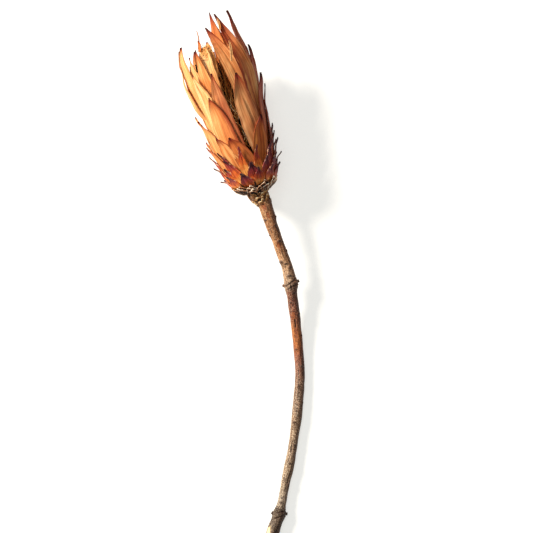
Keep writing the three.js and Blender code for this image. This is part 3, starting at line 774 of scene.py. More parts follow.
# Base scales: three rows of short pointed bracts at the foot of the head. Leathery dry skin,
# orange-brown at the root and purple-brown above, with a dark needle of a tip that stands off.
# Height and radius of the face under the scales, then heights and radii of the two ends of their seat.
OUTER_FACE = [
    (9, 11.7), (12, 13.2), (16, 14.8), (20, 16.2), (25, 17.8), (30, 19), (35, 19.7), (50, 21),
    (62, 22), (72, 22.6), (82, 22.2),
]
SCALE_SEAT = (1.3, 7.7, 7.2, 12.8)
ROOT_SINK = 1.6
# Outline of a blade: share of its length, share of its half width. Then what all blades of a kind share,
# in mm: thickness, gap to the face under it, length of its bend off the seat, flare of its end, waviness
# and how far its tip stands off.
SCALE_OUTLINE = [(0, 0.45), (0.4, 1), (0.6, 0.8), (0.78, 0.42), (0.88, 0.25), (0.96, 0.19), (1, 0.08)]
BASE_SCALE = {
    "thick": 0.64, "clear": 0.6, "bend": 3.2, "flare": 0.9, "outline": SCALE_OUTLINE, "seat": SCALE_SEAT,
    "inner": OUTER_FACE, "outer": HEAD_OUTLINE, "wave": 0.3, "stand_off": 1.9,
}
# A row has count blades, from the first azimuth on over a span of degrees. root and tip are heights, and
# the tips vary by the spread. place is 0 on the face under a blade and 1 under the face over it, tilt
# lifts one edge, and lean turns a blade as it rises. seen holds what is set one by one for the blades of
# that number: from and to are azimuths, and needle is the share of the dark tip that a scale has.
SCALE_ROWS = [
    {
        "count": 11, "first": 18, "span": 327, "root": 6.2, "place": 0, "tilt": 0, "tip": 26,
        "spread": 2.5, "half_width": 2.6, "lean": 3,
        "seen": {
            0: {"from": 20, "to": 18.1, "tip": 25.5, "tone": 0.1, "needle": 0.25},
            8: {"from": -80, "to": -92, "tip": 28.5},
            10: {"tone": 0.05, "needle": 0.2},
        },
    },
    {
        "count": 12, "first": 3, "span": 330, "root": 5, "place": 0.55, "tilt": 0, "tip": 20,
        "spread": 2, "half_width": 3.4, "lean": 2,
        "seen": {
            0: {"from": 6, "to": 0.6, "tip": 17.1, "half_width": 4.1, "tone": 0.62,
                "stand_off": 0.6, "needle": 0.3},
            1: {"from": 34, "to": 35, "tip": 18.1, "half_width": 3.2},
            11: {"from": -32, "to": -43.4, "tip": 22.5, "half_width": 3.4, "tone": 0.25},
        },
    },
    {
        "count": 11, "first": 10, "span": 327, "root": 3.6, "place": 1, "tilt": 0, "tip": 13.5,
        "spread": 1.2, "half_width": 3.3, "lean": 0,
        "seen": {10: {"from": -18, "to": -22.9, "tip": 12.6, "half_width": 3.8, "tone": 0.75,
                      "stand_off": 0.6, "needle": 0.5}},
    },
]
# How much the blades of a row vary, the share of its length from which one flares, and the heights
# between which it bulges.
LOOSE_FROM, LOOSE_TO, LOOSE_WIDTH, LOOSE_BOW = 2, 5, 0.06, 2
FLARE_FROM = 0.8
BULGE_FROM, BULGE_FULL, BULGE_UNTIL, BULGE_GONE = 46, 57, 70, 86
# What a blade has beyond its plain form, in mm: a rib along its middle, a crease beside it, rolled edges
# and ripples.
RIB, RIB_WIDTH, CREASE, CREASE_WIDTH, ROLL, RIPPLE = 0.2, 0.17, 0.42, 0.13, 0.34, 0.6
# How ragged its edge and its tip are, how far the tip sways in degrees, and how cupped it is.
RAGGED, RAGGED_TIP, SWAY, CUP, CUP_LOOSE = 0.06, 0.18, 1.6, 0.3, 0.15
NEEDLE_FROM, LIFT_FROM, ROLL_FROM = 0.7, 0.2, 0.6
BLADE_SEED_STEP, OWN_SEED = 7.3, 900


def blades_of_rows(rows, seed):
    """The blades of rows, each a little off its row's values, and the seen ones at their own."""
    loose = seeded_random(seed)
    found = []
    for row_number, row in enumerate(rows):
        for i in range(row["count"]):
            azimuth = row["first"] + i * row["span"] / (row["count"] - 1)
            blade = dict(row)
            blade["from"] = azimuth + row["lean"] / 2 + LOOSE_FROM * next(loose)
            blade["to"] = azimuth - row["lean"] / 2 + LOOSE_TO * next(loose)
            blade["tip"] = row["tip"] + row["spread"] * next(loose)
            blade["half_width"] = row["half_width"] * (1 + LOOSE_WIDTH * next(loose))
            blade["bow"] = LOOSE_BOW * next(loose)
            blade.update(row["seen"].get(i, {}))
            blade["row"], blade["number"] = "abc"[row_number], i
            found.append(blade)
    return found


def bulge_at(h):
    """The share of a blade's bulge at a height."""
    grown = smooth((h - BULGE_FROM) / (BULGE_FULL - BULGE_FROM))
    return grown * (1 - smooth((h - BULGE_UNTIL) / (BULGE_GONE - BULGE_UNTIL)))


def blade_shape(blade, kind, seed):
    """place(u, v) in mm of one blade: u from root to tip, v across it from -1 to 1."""
    low, high, radius_low, radius_high = kind["seat"]
    length = blade["tip"] - blade["root"]
    root_radius = mix(radius_low, radius_high, (blade["root"] - low) / (high - low)) - ROOT_SINK
    margin = kind["thick"] / 2 + blade["tilt"]
    own = seeded_random(seed + OWN_SEED)
    roll, cup, sway, stand = (next(own) for _ in range(4))
    outline = blade.get("outline", kind["outline"])

    def place(u, v):
        h = blade["root"] + length * u
        out = ease_out(length * u / kind["bend"])
        inside = along(kind["inner"], h) + margin + kind["clear"]
        outside = along(kind["outer"], h) - margin
        lying = mix(inside, max(outside, inside), blade["place"])
        near_tip = smooth((u - NEEDLE_FROM) / (1 - NEEDLE_FROM))
        side = 1 if v > 0 else -1
        ragged = 1 + RAGGED * noise.noise((h * 0.2, side * 5, seed)) * out
        ragged += RAGGED_TIP * near_tip * noise.noise((h * 0.55, side * 9, seed))
        width = blade["half_width"] * along(outline, u) * ragged
        middle = mix(blade["from"], blade["to"], u) + blade["bow"] * 4 * u * (1 - u)
        middle += SWAY * sway * near_tip
        azimuth = middle + math.degrees(v * width / mix(root_radius, lying, out))
        flat = out * (1 - near_tip)
        curl = blade["tilt"] * v * out + kind["flare"] * smooth((u - FLARE_FROM) / (1 - FLARE_FROM))
        curl += blade.get("bulge", 0) * bulge_at(h)
        curl += blade.get("lift", 0) * smooth((v - LIFT_FROM) / (1 - LIFT_FROM)) * flat
        curl += kind["wave"] * out * noise.noise((v * 0.9 + seed, h * 0.06, seed))
        curl += RIPPLE * kind["wave"] * out * noise.noise((v * 2.6 + seed, h * 0.21, seed + 4))
        curl += RIB * math.exp(-((v / RIB_WIDTH) ** 2)) * flat
        crease_at = 0.5 * roll + 0.35 * noise.noise((h * 0.035, seed, 3))
        curl -= CREASE * math.exp(-(((v - crease_at) / CREASE_WIDTH) ** 2)) * flat
        curl += ROLL * roll * out * smooth((abs(v) - ROLL_FROM) / (1 - ROLL_FROM))
        curl += near_tip * width * (CUP + CUP_LOOSE * cup) * v * v
        curl += blade.get("stand_off", kind["stand_off"]) * (0.5 + 0.5 * stand) * near_tip * near_tip
        return head_point(h, mix(root_radius, lying - squeeze(h, azimuth), out) + curl, azimuth)

    return place


SCALE_SHEET = 0.5
SCALE_SEED, SCALE_SHADE_SEED, SCALE_OWN_SEED = 37, 401, 200
# Shade of a scale, how much deeper it is towards +X, which is painted shade away from the key light, and
# how much it varies.
SCALE_SHADE, SCALE_SIDE_PAINTED_SHADE, SCALE_SHADE_OFF = 0.45, 0.25, 0.15
bpy.ops.mesh.primitive_grid_add(x_subdivisions=8, y_subdivisions=22, size=2)
scale_blank = bpy.context.object
scale_blank.name = "scale_blank"
base_scales = []
draw = seeded_random(SCALE_SHADE_SEED)
for number, blade in enumerate(blades_of_rows(SCALE_ROWS, SCALE_SEED)):
    seed = BLADE_SEED_STEP * number + SCALE_OWN_SEED
    # Painted shade: scales towards +X, away from the key light, are deeper.
    shade = SCALE_SHADE + SCALE_SIDE_PAINTED_SHADE * math.sin(math.radians(blade["to"]))
    shade += SCALE_SHADE_OFF * next(draw)
    shade = blade.get("tone", shade)
    scale = copy_of(scale_blank, "base_scale")
    add_attribute(scale, "needle", "FLOAT", [blade.get("needle", 1)] * len(scale.data.vertices))
    shape_sheet(
        scale, blade_shape(blade, BASE_SCALE, seed), SCALE_SHEET, lambda u, v: shade,
        number, blade["tip"] - blade["root"], blade["half_width"],
    )
    base_scales.append(scale)
row_sizes = [row["count"] for row in SCALE_ROWS]
rows = [base_scales[sum(row_sizes[:k]):sum(row_sizes[:k + 1])] for k in range(len(row_sizes))]

# Leathery scale: orange-brown at the root, purple-brown above, a dark needle at the end. Thin pale
# scraps of a frayed edge stay on in places.
leather, tree = empty_material("dry_leathery_scale")
spot = add_node(tree, "UVMap", {}, {})
across = add_node(tree, "SeparateXYZ", {}, {0: spot}, 0)
share = add_node(tree, "SeparateXYZ", {}, {0: spot}, 1)
place = attribute(tree, "sheet", 1)
shade = attribute(tree, "tone", 2)
vein_place = stretched(tree, place, (1.0, 0.1, 0.0))
vein = noise_texture(tree, vein_place, 1.5, 4.0)
mottle = noise_texture(tree, place, 0.35, 3.0)
depth = reckon(tree, "MULTIPLY_ADD", mottle, 0.5, -0.5)
depth = reckon(tree, "MULTIPLY_ADD", shade, 0.55, depth)
depth = reckon(tree, "ADD", depth, share)
leather_colour = ramp(tree, depth, [
    (0.12, "#f6a856"), (0.3, "#e0702c"), (0.46, "#b84c24"), (0.62, "#963632"), (0.82, "#6c2832"),
    (1.0, "#501e2a"),
])
vein_dark = ramp(tree, vein, [(0.35, "#97786a"), (0.6, "#ffffff")])
veined = blended(tree, "MULTIPLY", 0.8, leather_colour, vein_dark)
from_middle = off_middle(tree, across)
fray = noise_texture(tree, place, 0.5, 4.0)
frayed = reckon(tree, "MULTIPLY_ADD", fray, 0.8, from_middle)
frayed = reckon(tree, "MULTIPLY", frayed, 0.68)
fringe = ramp(tree, frayed, [(0.96, "#000000"), (1.0, "#c8c8c8")])
fringed = blended(tree, "MIX", fringe, veined, "#dcb088")
tip_share = ramp(tree, share, [(0.86, "#000000"), (0.95, "#ffffff")])
needle = attribute(tree, "needle", 2)
tip_share = reckon(tree, "MULTIPLY", tip_share, needle)
tipped = blended(tree, "MIX", tip_share, fringed, "#461b1c")
leather_bump = add_node(tree, "Bump", {}, {"Strength": 0.7, "Distance": 0.14 * MM, "Height": vein})
leather_shader = add_node(tree, "BsdfPrincipled", {}, {
    "Base Color": tipped, "Roughness": 0.5, "Specular IOR Level": 0.22, "Normal": leather_bump,
})
add_node(tree, "OutputMaterial", {}, {"Surface": leather_shader})
for letter, scales in zip("abc", rows):
    row = join_pieces(scales, f"base_scales_{letter}")
    row.data.materials.append(leather)
    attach(row, "root")
    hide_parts("base_scales")


# Outer bracts: three rows of long papery leaves that lie like tiles round the head. Dry satin skin,
# cream to maroon and darker towards +X with painted shade, thin enough for light to glow through, with
# red-brown edges, partly painted shade where blades overlap, and dark pointed tips.
INNER_FACE = [
    (12, 10.7), (16, 11.6), (20, 12.6), (25, 13.9), (30, 15), (35, 15.9), (50, 17.8), (62, 20),
    (72, 21.4), (82, 21.2), (95, 18), (110, 14.2),
]
OUTER_SEAT = (8, 12, 11.4, 11.4)
LANCE = [
    (0, 0.42), (0.15, 0.78), (0.4, 1), (0.62, 0.94), (0.8, 0.66), (0.92, 0.3), (0.97, 0.13), (1, 0.05),
]
OUTER_BRACT = {
    "thick": 0.66, "clear": 0.35, "bend": 4.5, "flare": 1.4, "outline": LANCE, "seat": OUTER_SEAT,
    "inner": INNER_FACE, "outer": OUTER_FACE, "wave": 0.45, "stand_off": 0.5,
}
# tone is a bract's colour: 0 is cream, 0.4 orange, 0.8 brown and 1 maroon. The tones given here are
# partly painted shade: blades towards -X, where the key light comes from, are paler and those towards +X
# darker. stain is how far its dark tip reaches down it in mm, across how much darker it is at its +X
# edge, faded the share of its orange that has gone, and lift how far that edge stands off, in mm.
OUTER_ROWS = [
    {
        "count": 9, "first": 36, "span": 309, "root": 10.7, "place": 0, "tilt": 0.4, "tip": 63,
        "spread": 7, "half_width": 6, "lean": 6,
        "seen": {
            0: {"from": 46, "to": 17.3, "bow": -4, "tip": 68.1, "half_width": 6.3, "tone": 0.4, "stain": 10,
                "across": 0.1, "lift": 0.7, "faded": 0.75},
            6: {"from": -66, "to": -88, "tip": 50, "half_width": 5.8, "tone": 0.2, "stain": 3},
            7: {"from": -46, "to": -40.7, "tip": 74.7, "tone": 0.16, "stain": 3},
            8: {
                "from": -6, "to": -15.5, "bow": -7, "tip": 71.7, "half_width": 4.8, "tone": 0.48,
                "across": 0.12, "faded": 0.75, "stain": 6,
            },
        },
    },
    {
        "count": 9, "first": 36, "span": 298, "root": 9.9, "place": 0.65, "tilt": 0.1, "tip": 49,
        "spread": 5, "half_width": 5.6, "lean": 6,
        "seen": {
            0: {"from": 26, "to": 42.6, "tip": 41.9, "half_width": 5, "tone": 0.48, "stain": 9,
                "faded": 0.2},
            1: {"from": 78, "to": 88, "tip": 59.9, "half_width": 2.6, "tone": 1.0},
            8: {"from": -24, "to": -28.7, "tip": 59.1, "half_width": 6.2, "tone": 0.42, "stain": 6,
                "across": 0.16, "faded": 0.4},
        },
    },
    {
        "count": 9, "first": 72, "span": 283, "root": 9.1, "place": 1, "tilt": 0, "tip": 36,
        "spread": 4, "half_width": 4.6, "lean": 6,
        "seen": {
            0: {"from": 66, "to": 73, "tip": 31.7, "half_width": 3, "tone": 0.8},
            6: {"from": -58, "to": -85, "tip": 34, "half_width": 4, "tone": 0.3, "stain": 7},
            7: {"from": -30, "to": -42, "tip": 36.4, "half_width": 4.4, "tone": 0.33, "stain": 5},
            8: {"from": 3, "to": -19.5, "tip": 33.9, "half_width": 5.6, "tone": 0.5, "stain": 6},
        },
    },
]
BRACT_SHEET = 0.36
OUTER_SEED, TONE_SEED = 23, 500
# A plain bract: how faded, how much darker at its +X edge, its tone, how much more that is towards +X and
# how much it varies. Both of the darkenings towards +X are painted shade, away from the key light. Its
# stain grows with its tone.
PLAIN_FADED, PLAIN_ACROSS_SHADE, PLAIN_TONE, SIDE_SHADE_TONE, TONE_OFF = 0.35, 0.05, 0.42, 0.3, 0.1
STAIN_PER_TONE, STAIN_SHIFT, LEAST_STAIN = 26, 1, 2

# Bract skin: satin, with fine veins and broader streaks along it. Edges are red-brown in places, partly
# the blade's own margin and partly painted shade of the gaps where blades overlap. The tips are dark over
# a length that grows with the tone, and some light comes through.
papery, tree = empty_material("dry_papery_bract")
spot = add_node(tree, "UVMap", {}, {})
across = add_node(tree, "SeparateXYZ", {}, {0: spot}, 0)
place = attribute(tree, "sheet", 1)
from_root = add_node(tree, "SeparateXYZ", {}, {0: place}, 1)
from_tip = add_node(tree, "SeparateXYZ", {}, {0: place}, 2)
tone = attribute(tree, "tone", 2)
cloud_place = stretched(tree, place, (1.0, 0.3, 0.0))
cloud = noise_texture(tree, cloud_place, 0.22, 3.0)
streak_place = stretched(tree, place, (1.0, 0.04, 0.0))
streak = noise_texture(tree, streak_place, 0.42, 3.0)
toned = reckon(tree, "MULTIPLY_ADD", cloud, 0.5, -0.5)
toned = reckon(tree, "MULTIPLY_ADD", streak, 0.5, toned)
toned = reckon(tree, "ADD", toned, tone)
skin_tone = ramp(tree, toned, [
    (0.02, "#fde0a4"), (0.2, "#f8bc6c"), (0.4, "#ea8a3a"), (0.6, "#c26028"), (0.8, "#8e3c22"),
    (1.0, "#56181c"),
])
faded_tone = ramp(tree, toned, [(0.1, "#fad8a6"), (0.4, "#e0a472"), (0.65, "#b6684a"), (0.95, "#702a2c")])
faded = attribute(tree, "faded", 2)
skin_tone = blended(tree, "MIX", faded, skin_tone, faded_tone)
root_share = reckon(tree, "DIVIDE", from_root, 40.0)
root_warm = ramp(tree, root_share, [(0.2, "#9a9a9a"), (0.9, "#000000")])
rooted = blended(tree, "MIX", root_warm, skin_tone, "#c87238")
vein_place = stretched(tree, place, (1.0, 0.02, 0.0))
vein = noise_texture(tree, vein_place, 1.3, 4.0, 0.6)
vein_dark = ramp(tree, vein, [(0.34, "#a87650"), (0.48, "#f0dcc6"), (0.62, "#ffffff")])
veined = blended(tree, "MULTIPLY", 0.8, rooted, vein_dark)
# Red-brown edges: partly the blade's own margin, partly painted shade of the gaps between blades.
from_middle = off_middle(tree, across)
patch = noise_texture(tree, cloud_place, 0.5, 2.0)
rim = reckon(tree, "MULTIPLY_ADD", patch, 0.55, from_middle)
rim = reckon(tree, "MULTIPLY", rim, 0.7)
rim = ramp(tree, rim, [(0.77, "#000000"), (0.87, "#d8d8d8")])
rim_share = ramp(tree, tone, [(0.1, "#5a5a5a"), (0.4, "#ffffff")])
rim = reckon(tree, "MULTIPLY", rim, rim_share)
rimmed = blended(tree, "MIX", rim, veined, "#86341a")
stain = attribute(tree, "stain", 2)
tip_share = reckon(tree, "DIVIDE", from_tip, stain)
tip_share = reckon(tree, "MULTIPLY_ADD", streak, 0.8, tip_share)
tip_share = reckon(tree, "MULTIPLY_ADD", tip_share, 0.7, -0.22)
tip_dark = ramp(tree, tip_share, [(0.2, "#ffffff"), (0.5, "#b0b0b0"), (0.85, "#000000")])
tip_colour = ramp(tree, tip_share, [(0.1, "#320e0a"), (0.24, "#862a1e"), (0.5, "#ae4824")])
tipped = blended(tree, "MIX", tip_dark, rimmed, tip_colour)
bract_bump = add_node(tree, "Bump", {}, {"Strength": 0.45, "Distance": 0.08 * MM, "Height": vein})
satin = add_node(tree, "BsdfPrincipled", {}, {
    "Base Color": tipped, "Roughness": 0.5, "Specular IOR Level": 0.16, "Normal": bract_bump,
})
glow = add_node(tree, "BsdfTranslucent", {}, {"Color": tipped, "Normal": bract_bump})
sheet_shader = add_node(tree, "MixShader", {}, {0: 0.2, 1: satin, 2: glow})
add_node(tree, "OutputMaterial", {}, {"Surface": sheet_shader})

bpy.ops.mesh.primitive_grid_add(x_subdivisions=16, y_subdivisions=60, size=2)
bract_blank = bpy.context.object
bract_blank.name = "bract_blank"


def add_bract(blank, name, shape, blade, number, node):
    """Makes one papery blade, with its tone, stain, length and half width, as a piece of its own."""
    piece = copy_of(blank, name)
    for trait, value in (("stain", blade["stain"]), ("faded", blade.get("faded", 0))):
        add_attribute(piece, trait, "FLOAT", [value] * len(piece.data.vertices))
    shape_sheet(
        piece, shape, BRACT_SHEET, lambda u, v: blade["tone"] + blade.get("across", PLAIN_ACROSS_SHADE) * v,
        number, blade["tip"] - blade["root"], blade["half_width"],
    )
    piece.data.materials.append(papery)
    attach(piece, "root")
    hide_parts(node)


def grow_bracts(rows, kind, seed, word, node):
    """Makes the blades of rows as pieces of their own, redder towards +X with painted shade, and more
    stained.
    """
    draw = seeded_random(seed + TONE_SEED)
    for number, blade in enumerate(blades_of_rows(rows, seed)):
        # Painted shade: the tone grows towards +X, away from the key light.
        tone = PLAIN_TONE + SIDE_SHADE_TONE * math.sin(math.radians(blade["to"])) + TONE_OFF * next(draw)
        blade.setdefault("tone", tone)
        blade.setdefault("stain", max(STAIN_PER_TONE * blade["tone"] - STAIN_SHIFT, LEAST_STAIN))
        blade.setdefault("faded", PLAIN_FADED)
        name = f"{word}_{blade['row']}{blade['number']}"
        shape = blade_shape(blade, kind, BLADE_SEED_STEP * number + seed)
        add_bract(bract_blank, name, shape, blade, number + seed, node)


grow_bracts(OUTER_ROWS, OUTER_BRACT, OUTER_SEED, "outer_bract", "outer_bracts")


# Inner bracts: two rows of the longest leaves, which stand round the florets and leave a slit at the
# front. The same dry satin skin as the outer ones, and their tips make the ragged top of the head.
FLORET_FACE = [
    (17, 8.8), (25, 9.8), (35, 11.6), (50, 13.4), (62, 14.8), (75, 15.6), (90, 13.6), (110, 10.6),
]
INNER_SEAT = (12.3, 17, 9.8, 9.4)
BLUNT = [(0, 0.42), (0.15, 0.78), (0.4, 1), (0.7, 0.86), (0.9, 0.62), (1, 0.3)]
INNER_BRACT = dict(OUTER_BRACT, seat=INNER_SEAT, inner=FLORET_FACE, outer=INNER_FACE, wave=0.5)
INNER_ROWS = [
    {
        "count": 10, "first": 27, "span": 308, "root": 14.6, "place": 0.3, "tilt": 0.6, "tip": 93,
        "spread": 6, "half_width": 5.6, "lean": 12,
        "seen": {
            0: {
                "from": 36, "to": -4, "bow": 15, "tip": 98.8, "half_width": 5.8, "place": 0.7,
                "tone": 0.34, "stain": 16, "lift": 0.6, "faded": 0.5,
            },
            1: {
                "from": 72, "to": 75, "bow": -10, "tip": 106.8, "half_width": 4.2, "place": 0.6,
                "tone": 0.6, "stain": 24,
            },
            2: {"tip": 84},
            3: {
                "from": 148, "to": 158, "tip": 104.5, "half_width": 6, "place": 0.7, "tone": 0.42,
                "stain": 12,
            },
            4: {"from": 172, "to": 160, "tip": 111.4, "tone": 0.44, "stain": 15},
            6: {"from": -120, "to": -128, "tip": 84},
            7: {
                "from": -80, "to": -78, "tip": 88.8, "half_width": 5.4, "place": 1, "bulge": 2.4,
                "tone": 0.2, "stain": 5,
            },
            8: {
                "from": -54, "to": -47, "tip": 85.4, "half_width": 6.4, "place": 0.85, "tone": 0.14,
                "stain": 4,
            },
            9: {
                "from": -20, "to": -17, "bow": -8, "tip": 88, "half_width": 6.2, "place": 0.7,
                "outline": BLUNT, "tone": 0.1, "stain": 2, "across": 0.1,
            },
        },
    },
    {
        "count": 9, "first": 46, "span": 282, "root": 13.4, "place": 1, "tilt": 0.3, "tip": 90,
        "spread": 6, "half_width": 5.4, "lean": 12,
        "seen": {
            0: {"from": 78, "to": 22, "tip": 105.2, "half_width": 4.8, "tone": 0.5, "stain": 32,
                "across": -0.28, "lift": 1.1, "faded": 0.55},
            1: {"from": 90, "to": 66, "tip": 83.5, "half_width": 4.2, "tone": 0.66, "stain": 24},
            2: {"tip": 80},
            7: {
                "from": -54, "to": -62, "tip": 93.1, "half_width": 4.8, "tone": 0.2, "stain": 4,
                "tilt": -0.3,
            },
            8: {"from": -34, "to": -30, "tip": 87.9, "half_width": 4.6, "tone": 0.3, "stain": 7},
        },
    },
]
INNER_SEED = 11
grow_bracts(INNER_ROWS, INNER_BRACT, INNER_SEED, "inner_bract", "inner_bracts")

# Slivers torn off the bracts' edges, which curl off them: name, then height, azimuth and distance off the
# inner face at both ends, half width and tone.
SLIVERS = [
    ("torn_sliver_right", (75.5, 19.4, 0.8), (88, 23.4, 2.6), 0.8, 0.0),
    ("torn_sliver_top", (95, 20.8, 0.6), (103, 22.8, 1.4), 0.7, 0.15),
    ("torn_sliver_left", (86, -22.8, 0.8), (92.5, -22.6, 1.6), 1.0, 0.35),
    ("torn_sliver_middle", (66, -17, -3.2), (90.5, -10, -1.2), 3.2, 0.12),
]
SLIVER_CUP, SLIVER_SWAY = 0.3, 2
for name, (low, low_turn, low_off), (high, high_turn, high_off), half_width, tone in SLIVERS:

    def sliver_point(u, v):
        h = mix(low, high, u)
        width = half_width * math.sqrt(max(1 - u * u, 0.01)) * (0.6 + 0.4 * smooth(u * 4))
        radius = along(INNER_FACE, h) + mix(low_off, high_off, u) + SLIVER_CUP * v * v
        azimuth = mix(low_turn, high_turn, u) + SLIVER_SWAY * math.sin(2.5 * u)
        return head_point(h, radius, azimuth + math.degrees(v * width / radius))

    sliver = {"tone": tone, "stain": LEAST_STAIN, "tip": high, "root": low, "half_width": half_width}
    add_bract(small_blank, name, sliver_point, sliver, low, "inner_bracts")


# Florets: the dense bundle of thin dried flowers inside the bracts, standing side by side on the end of
# the receptacle. Brittle dark tubes, with paler hairs between and across them.
FLORET_SEED, HAIR_SEED = 51, 577
# Rings of florets: how many, radius and height of the seat, share of the room round them at which they
# stand, height of the tips and how much that varies.
FLORET_RINGS = [
    (46, 7.4, 18.4, 0.97, 79, 5), (46, 7.0, 18.4, 0.9, 76, 6), (36, 6.0, 18.8, 0.8, 80, 5),
    (24, 5.2, 19, 0.68, 82, 4), (12, 2.6, 19, 0.4, 84, 3),
]
# The plain core that they stand round: height and radius.
FLORET_CORE = [(18, 7.2), (30, 7.4), (42, 6.9), (56, 5.0), (66, 3.0), (72, 1.0)]
THREAD_STEPS, THREAD_STEP = 8, 0.02
ACROSS_THREADS = Vector((0.31, 0.52, 0.79))  # a direction along which no thread runs
# The dark florets are partly painted shade: darkened to near black for the deep slit.
DARK_SHADED_FLORET, PALE_FLORET, PALE_EVERY = 0.13, 0.58, 4  # tones, and every so many is pale
FLORET_RADIUS, FLORET_TAPER, FLORET_CLEAR, CORE_TONE, CORE_UNEVEN = 0.62, 0.45, 0.9, 0.2, 0.12
# How much one varies: turn of its start and end, bow in mm, twist in degrees, tone and radius.
FLORET_START_OFF, FLORET_END_OFF, FLORET_BOW, FLORET_TWIST = 4, 11, 0.5, 6
FLORET_TONE_OFF, FLORET_RADIUS_OFF = 0.12, 0.15
bpy.ops.mesh.primitive_cylinder_add(vertices=5, radius=1, depth=1)
thread_blank = bpy.context.object
thread_blank.name = "thread_blank"
bpy.ops.object.mode_set(mode="EDIT")
for k in range(1, THREAD_STEPS):
    bpy.ops.mesh.select_all(action="SELECT")
    bpy.ops.mesh.bisect(plane_co=(0, 0, k / THREAD_STEPS - 0.5), plane_no=(0, 0, 1))
bpy.ops.object.mode_set(mode="OBJECT")


def grow_thread(path, radius, shade):
    """A thin tube along path(t) in mm, t from 0 to 1, with radius(t)."""
    piece = copy_of(thread_blank, "thread")
    tones = []
    for point in piece.data.vertices:
        t, turn = point.co.z + 0.5, math.atan2(point.co.y, point.co.x)
        forward = (path(min(t + THREAD_STEP, 1)) - path(max(t - THREAD_STEP, 0))).normalized()
        side = forward.cross(ACROSS_THREADS).normalized()
        up = side.cross(forward)
        point.co = (path(t) + (side * math.cos(turn) + up * math.sin(turn)) * radius(t)) * MM
        tones.append(shade)
    add_attribute(piece, "tone", "FLOAT", tones)
    return piece


draw = seeded_random(FLORET_SEED)
tubes = []
for count, seat, low, share, tip, spread in FLORET_RINGS:
    for i in range(count):
        start = 360 * i / count + FLORET_START_OFF * next(draw)
        end = start + FLORET_END_OFF * next(draw)
        top = tip + spread * next(draw)
        bow = FLORET_BOW * next(draw)
        twist = FLORET_TWIST * next(draw)

        def floret_path(t):
            h = mix(low, top, t)
            lying = (along(FLORET_FACE, h) - FLORET_CLEAR) * share + bow * math.sin(2 * t * math.pi)
            azimuth = mix(start, end, t) + twist * math.sin(3 * t * math.pi)
            return head_point(h, mix(seat, lying, smooth(t * 3)), azimuth)

        shade = (PALE_FLORET if i % PALE_EVERY == 0 else DARK_SHADED_FLORET) + FLORET_TONE_OFF * next(draw)
        width = FLORET_RADIUS + FLORET_RADIUS_OFF * next(draw)
        tubes.append(grow_thread(floret_path, lambda t: width * (1 - FLORET_TAPER * t), shade))
floret_bundle = join_pieces(tubes, "floret_bundle")

bpy.ops.mesh.primitive_grid_add(x_subdivisions=40, y_subdivisions=30, size=2)
core = bpy.context.object
core.name = "floret_core"
for point in core.data.vertices:
    turn = math.pi * point.co.x
    h = mix(FLORET_CORE[0][0], FLORET_CORE[-1][0], (point.co.y + 1) / 2)
    uneven = 1 + CORE_UNEVEN * noise.noise((4 * math.cos(turn), 4 * math.sin(turn), h * 0.05))
    point.co = head_point(h, along(FLORET_CORE, h) * uneven, math.degrees(turn)) * MM
add_attribute(core, "tone", "FLOAT", [CORE_TONE] * len(core.data.vertices))
close_rolled()

# Hairs of the florets: fine and pale, the loose ones lying across the slit. Their pale warm tone is
# partly painted light, where they lie in the slit's shade.
# Of each kind: the highest root, the reach in mm and the slant in degrees, each with how much it
# varies, the tone and the radius.
HAIRS, HAIR_LOW, HAIR_TAPER = 150, 20, 0.6
CROSSING_HAIR = (50, (8, 3), (20, 9), 0.9, 0.3)
UPRIGHT_HAIR = (70, (16, 5), (0, 7), 0.68, 0.18)
HAIR_LIFT, HAIR_LIFT_OFF, HAIR_SUNK, HAIR_WANDER, HAIR_TONE_OFF = 1.0, 0.6, 0.7, 3, 0.14
SLIT_FROM, SLIT_TO = -18, 30  # degrees between which the slit opens
draw = seeded_random(HAIR_SEED)
hairs = []
for i in range(HAIRS):
    azimuth = mix(SLIT_FROM, SLIT_TO, (next(draw) + 1) / 2) if i % 4 else 180 * next(draw)
    high, reaches, slants, shade, thick = CROSSING_HAIR if i % 3 == 0 else UPRIGHT_HAIR
    low = mix(HAIR_LOW, high, (next(draw) + 1) / 2)
    reach = reaches[0] + reaches[1] * next(draw)
    slant = slants[0] + slants[1] * next(draw)
    slant *= -1 if i % 2 else 1
    lift = HAIR_LIFT + HAIR_LIFT_OFF * next(draw)

    def hair_path(t):
        h = low + reach * t
        radius = along(FLORET_FACE, h) - HAIR_SUNK + lift * math.sin(math.pi * t)
        return head_point(h, radius, azimuth + slant * (t - 0.5) + HAIR_WANDER * math.sin(4 * t + i))

    shade += HAIR_TONE_OFF * next(draw)
    hairs.append(grow_thread(hair_path, lambda t: thick * (1 - HAIR_TAPER * t), shade))

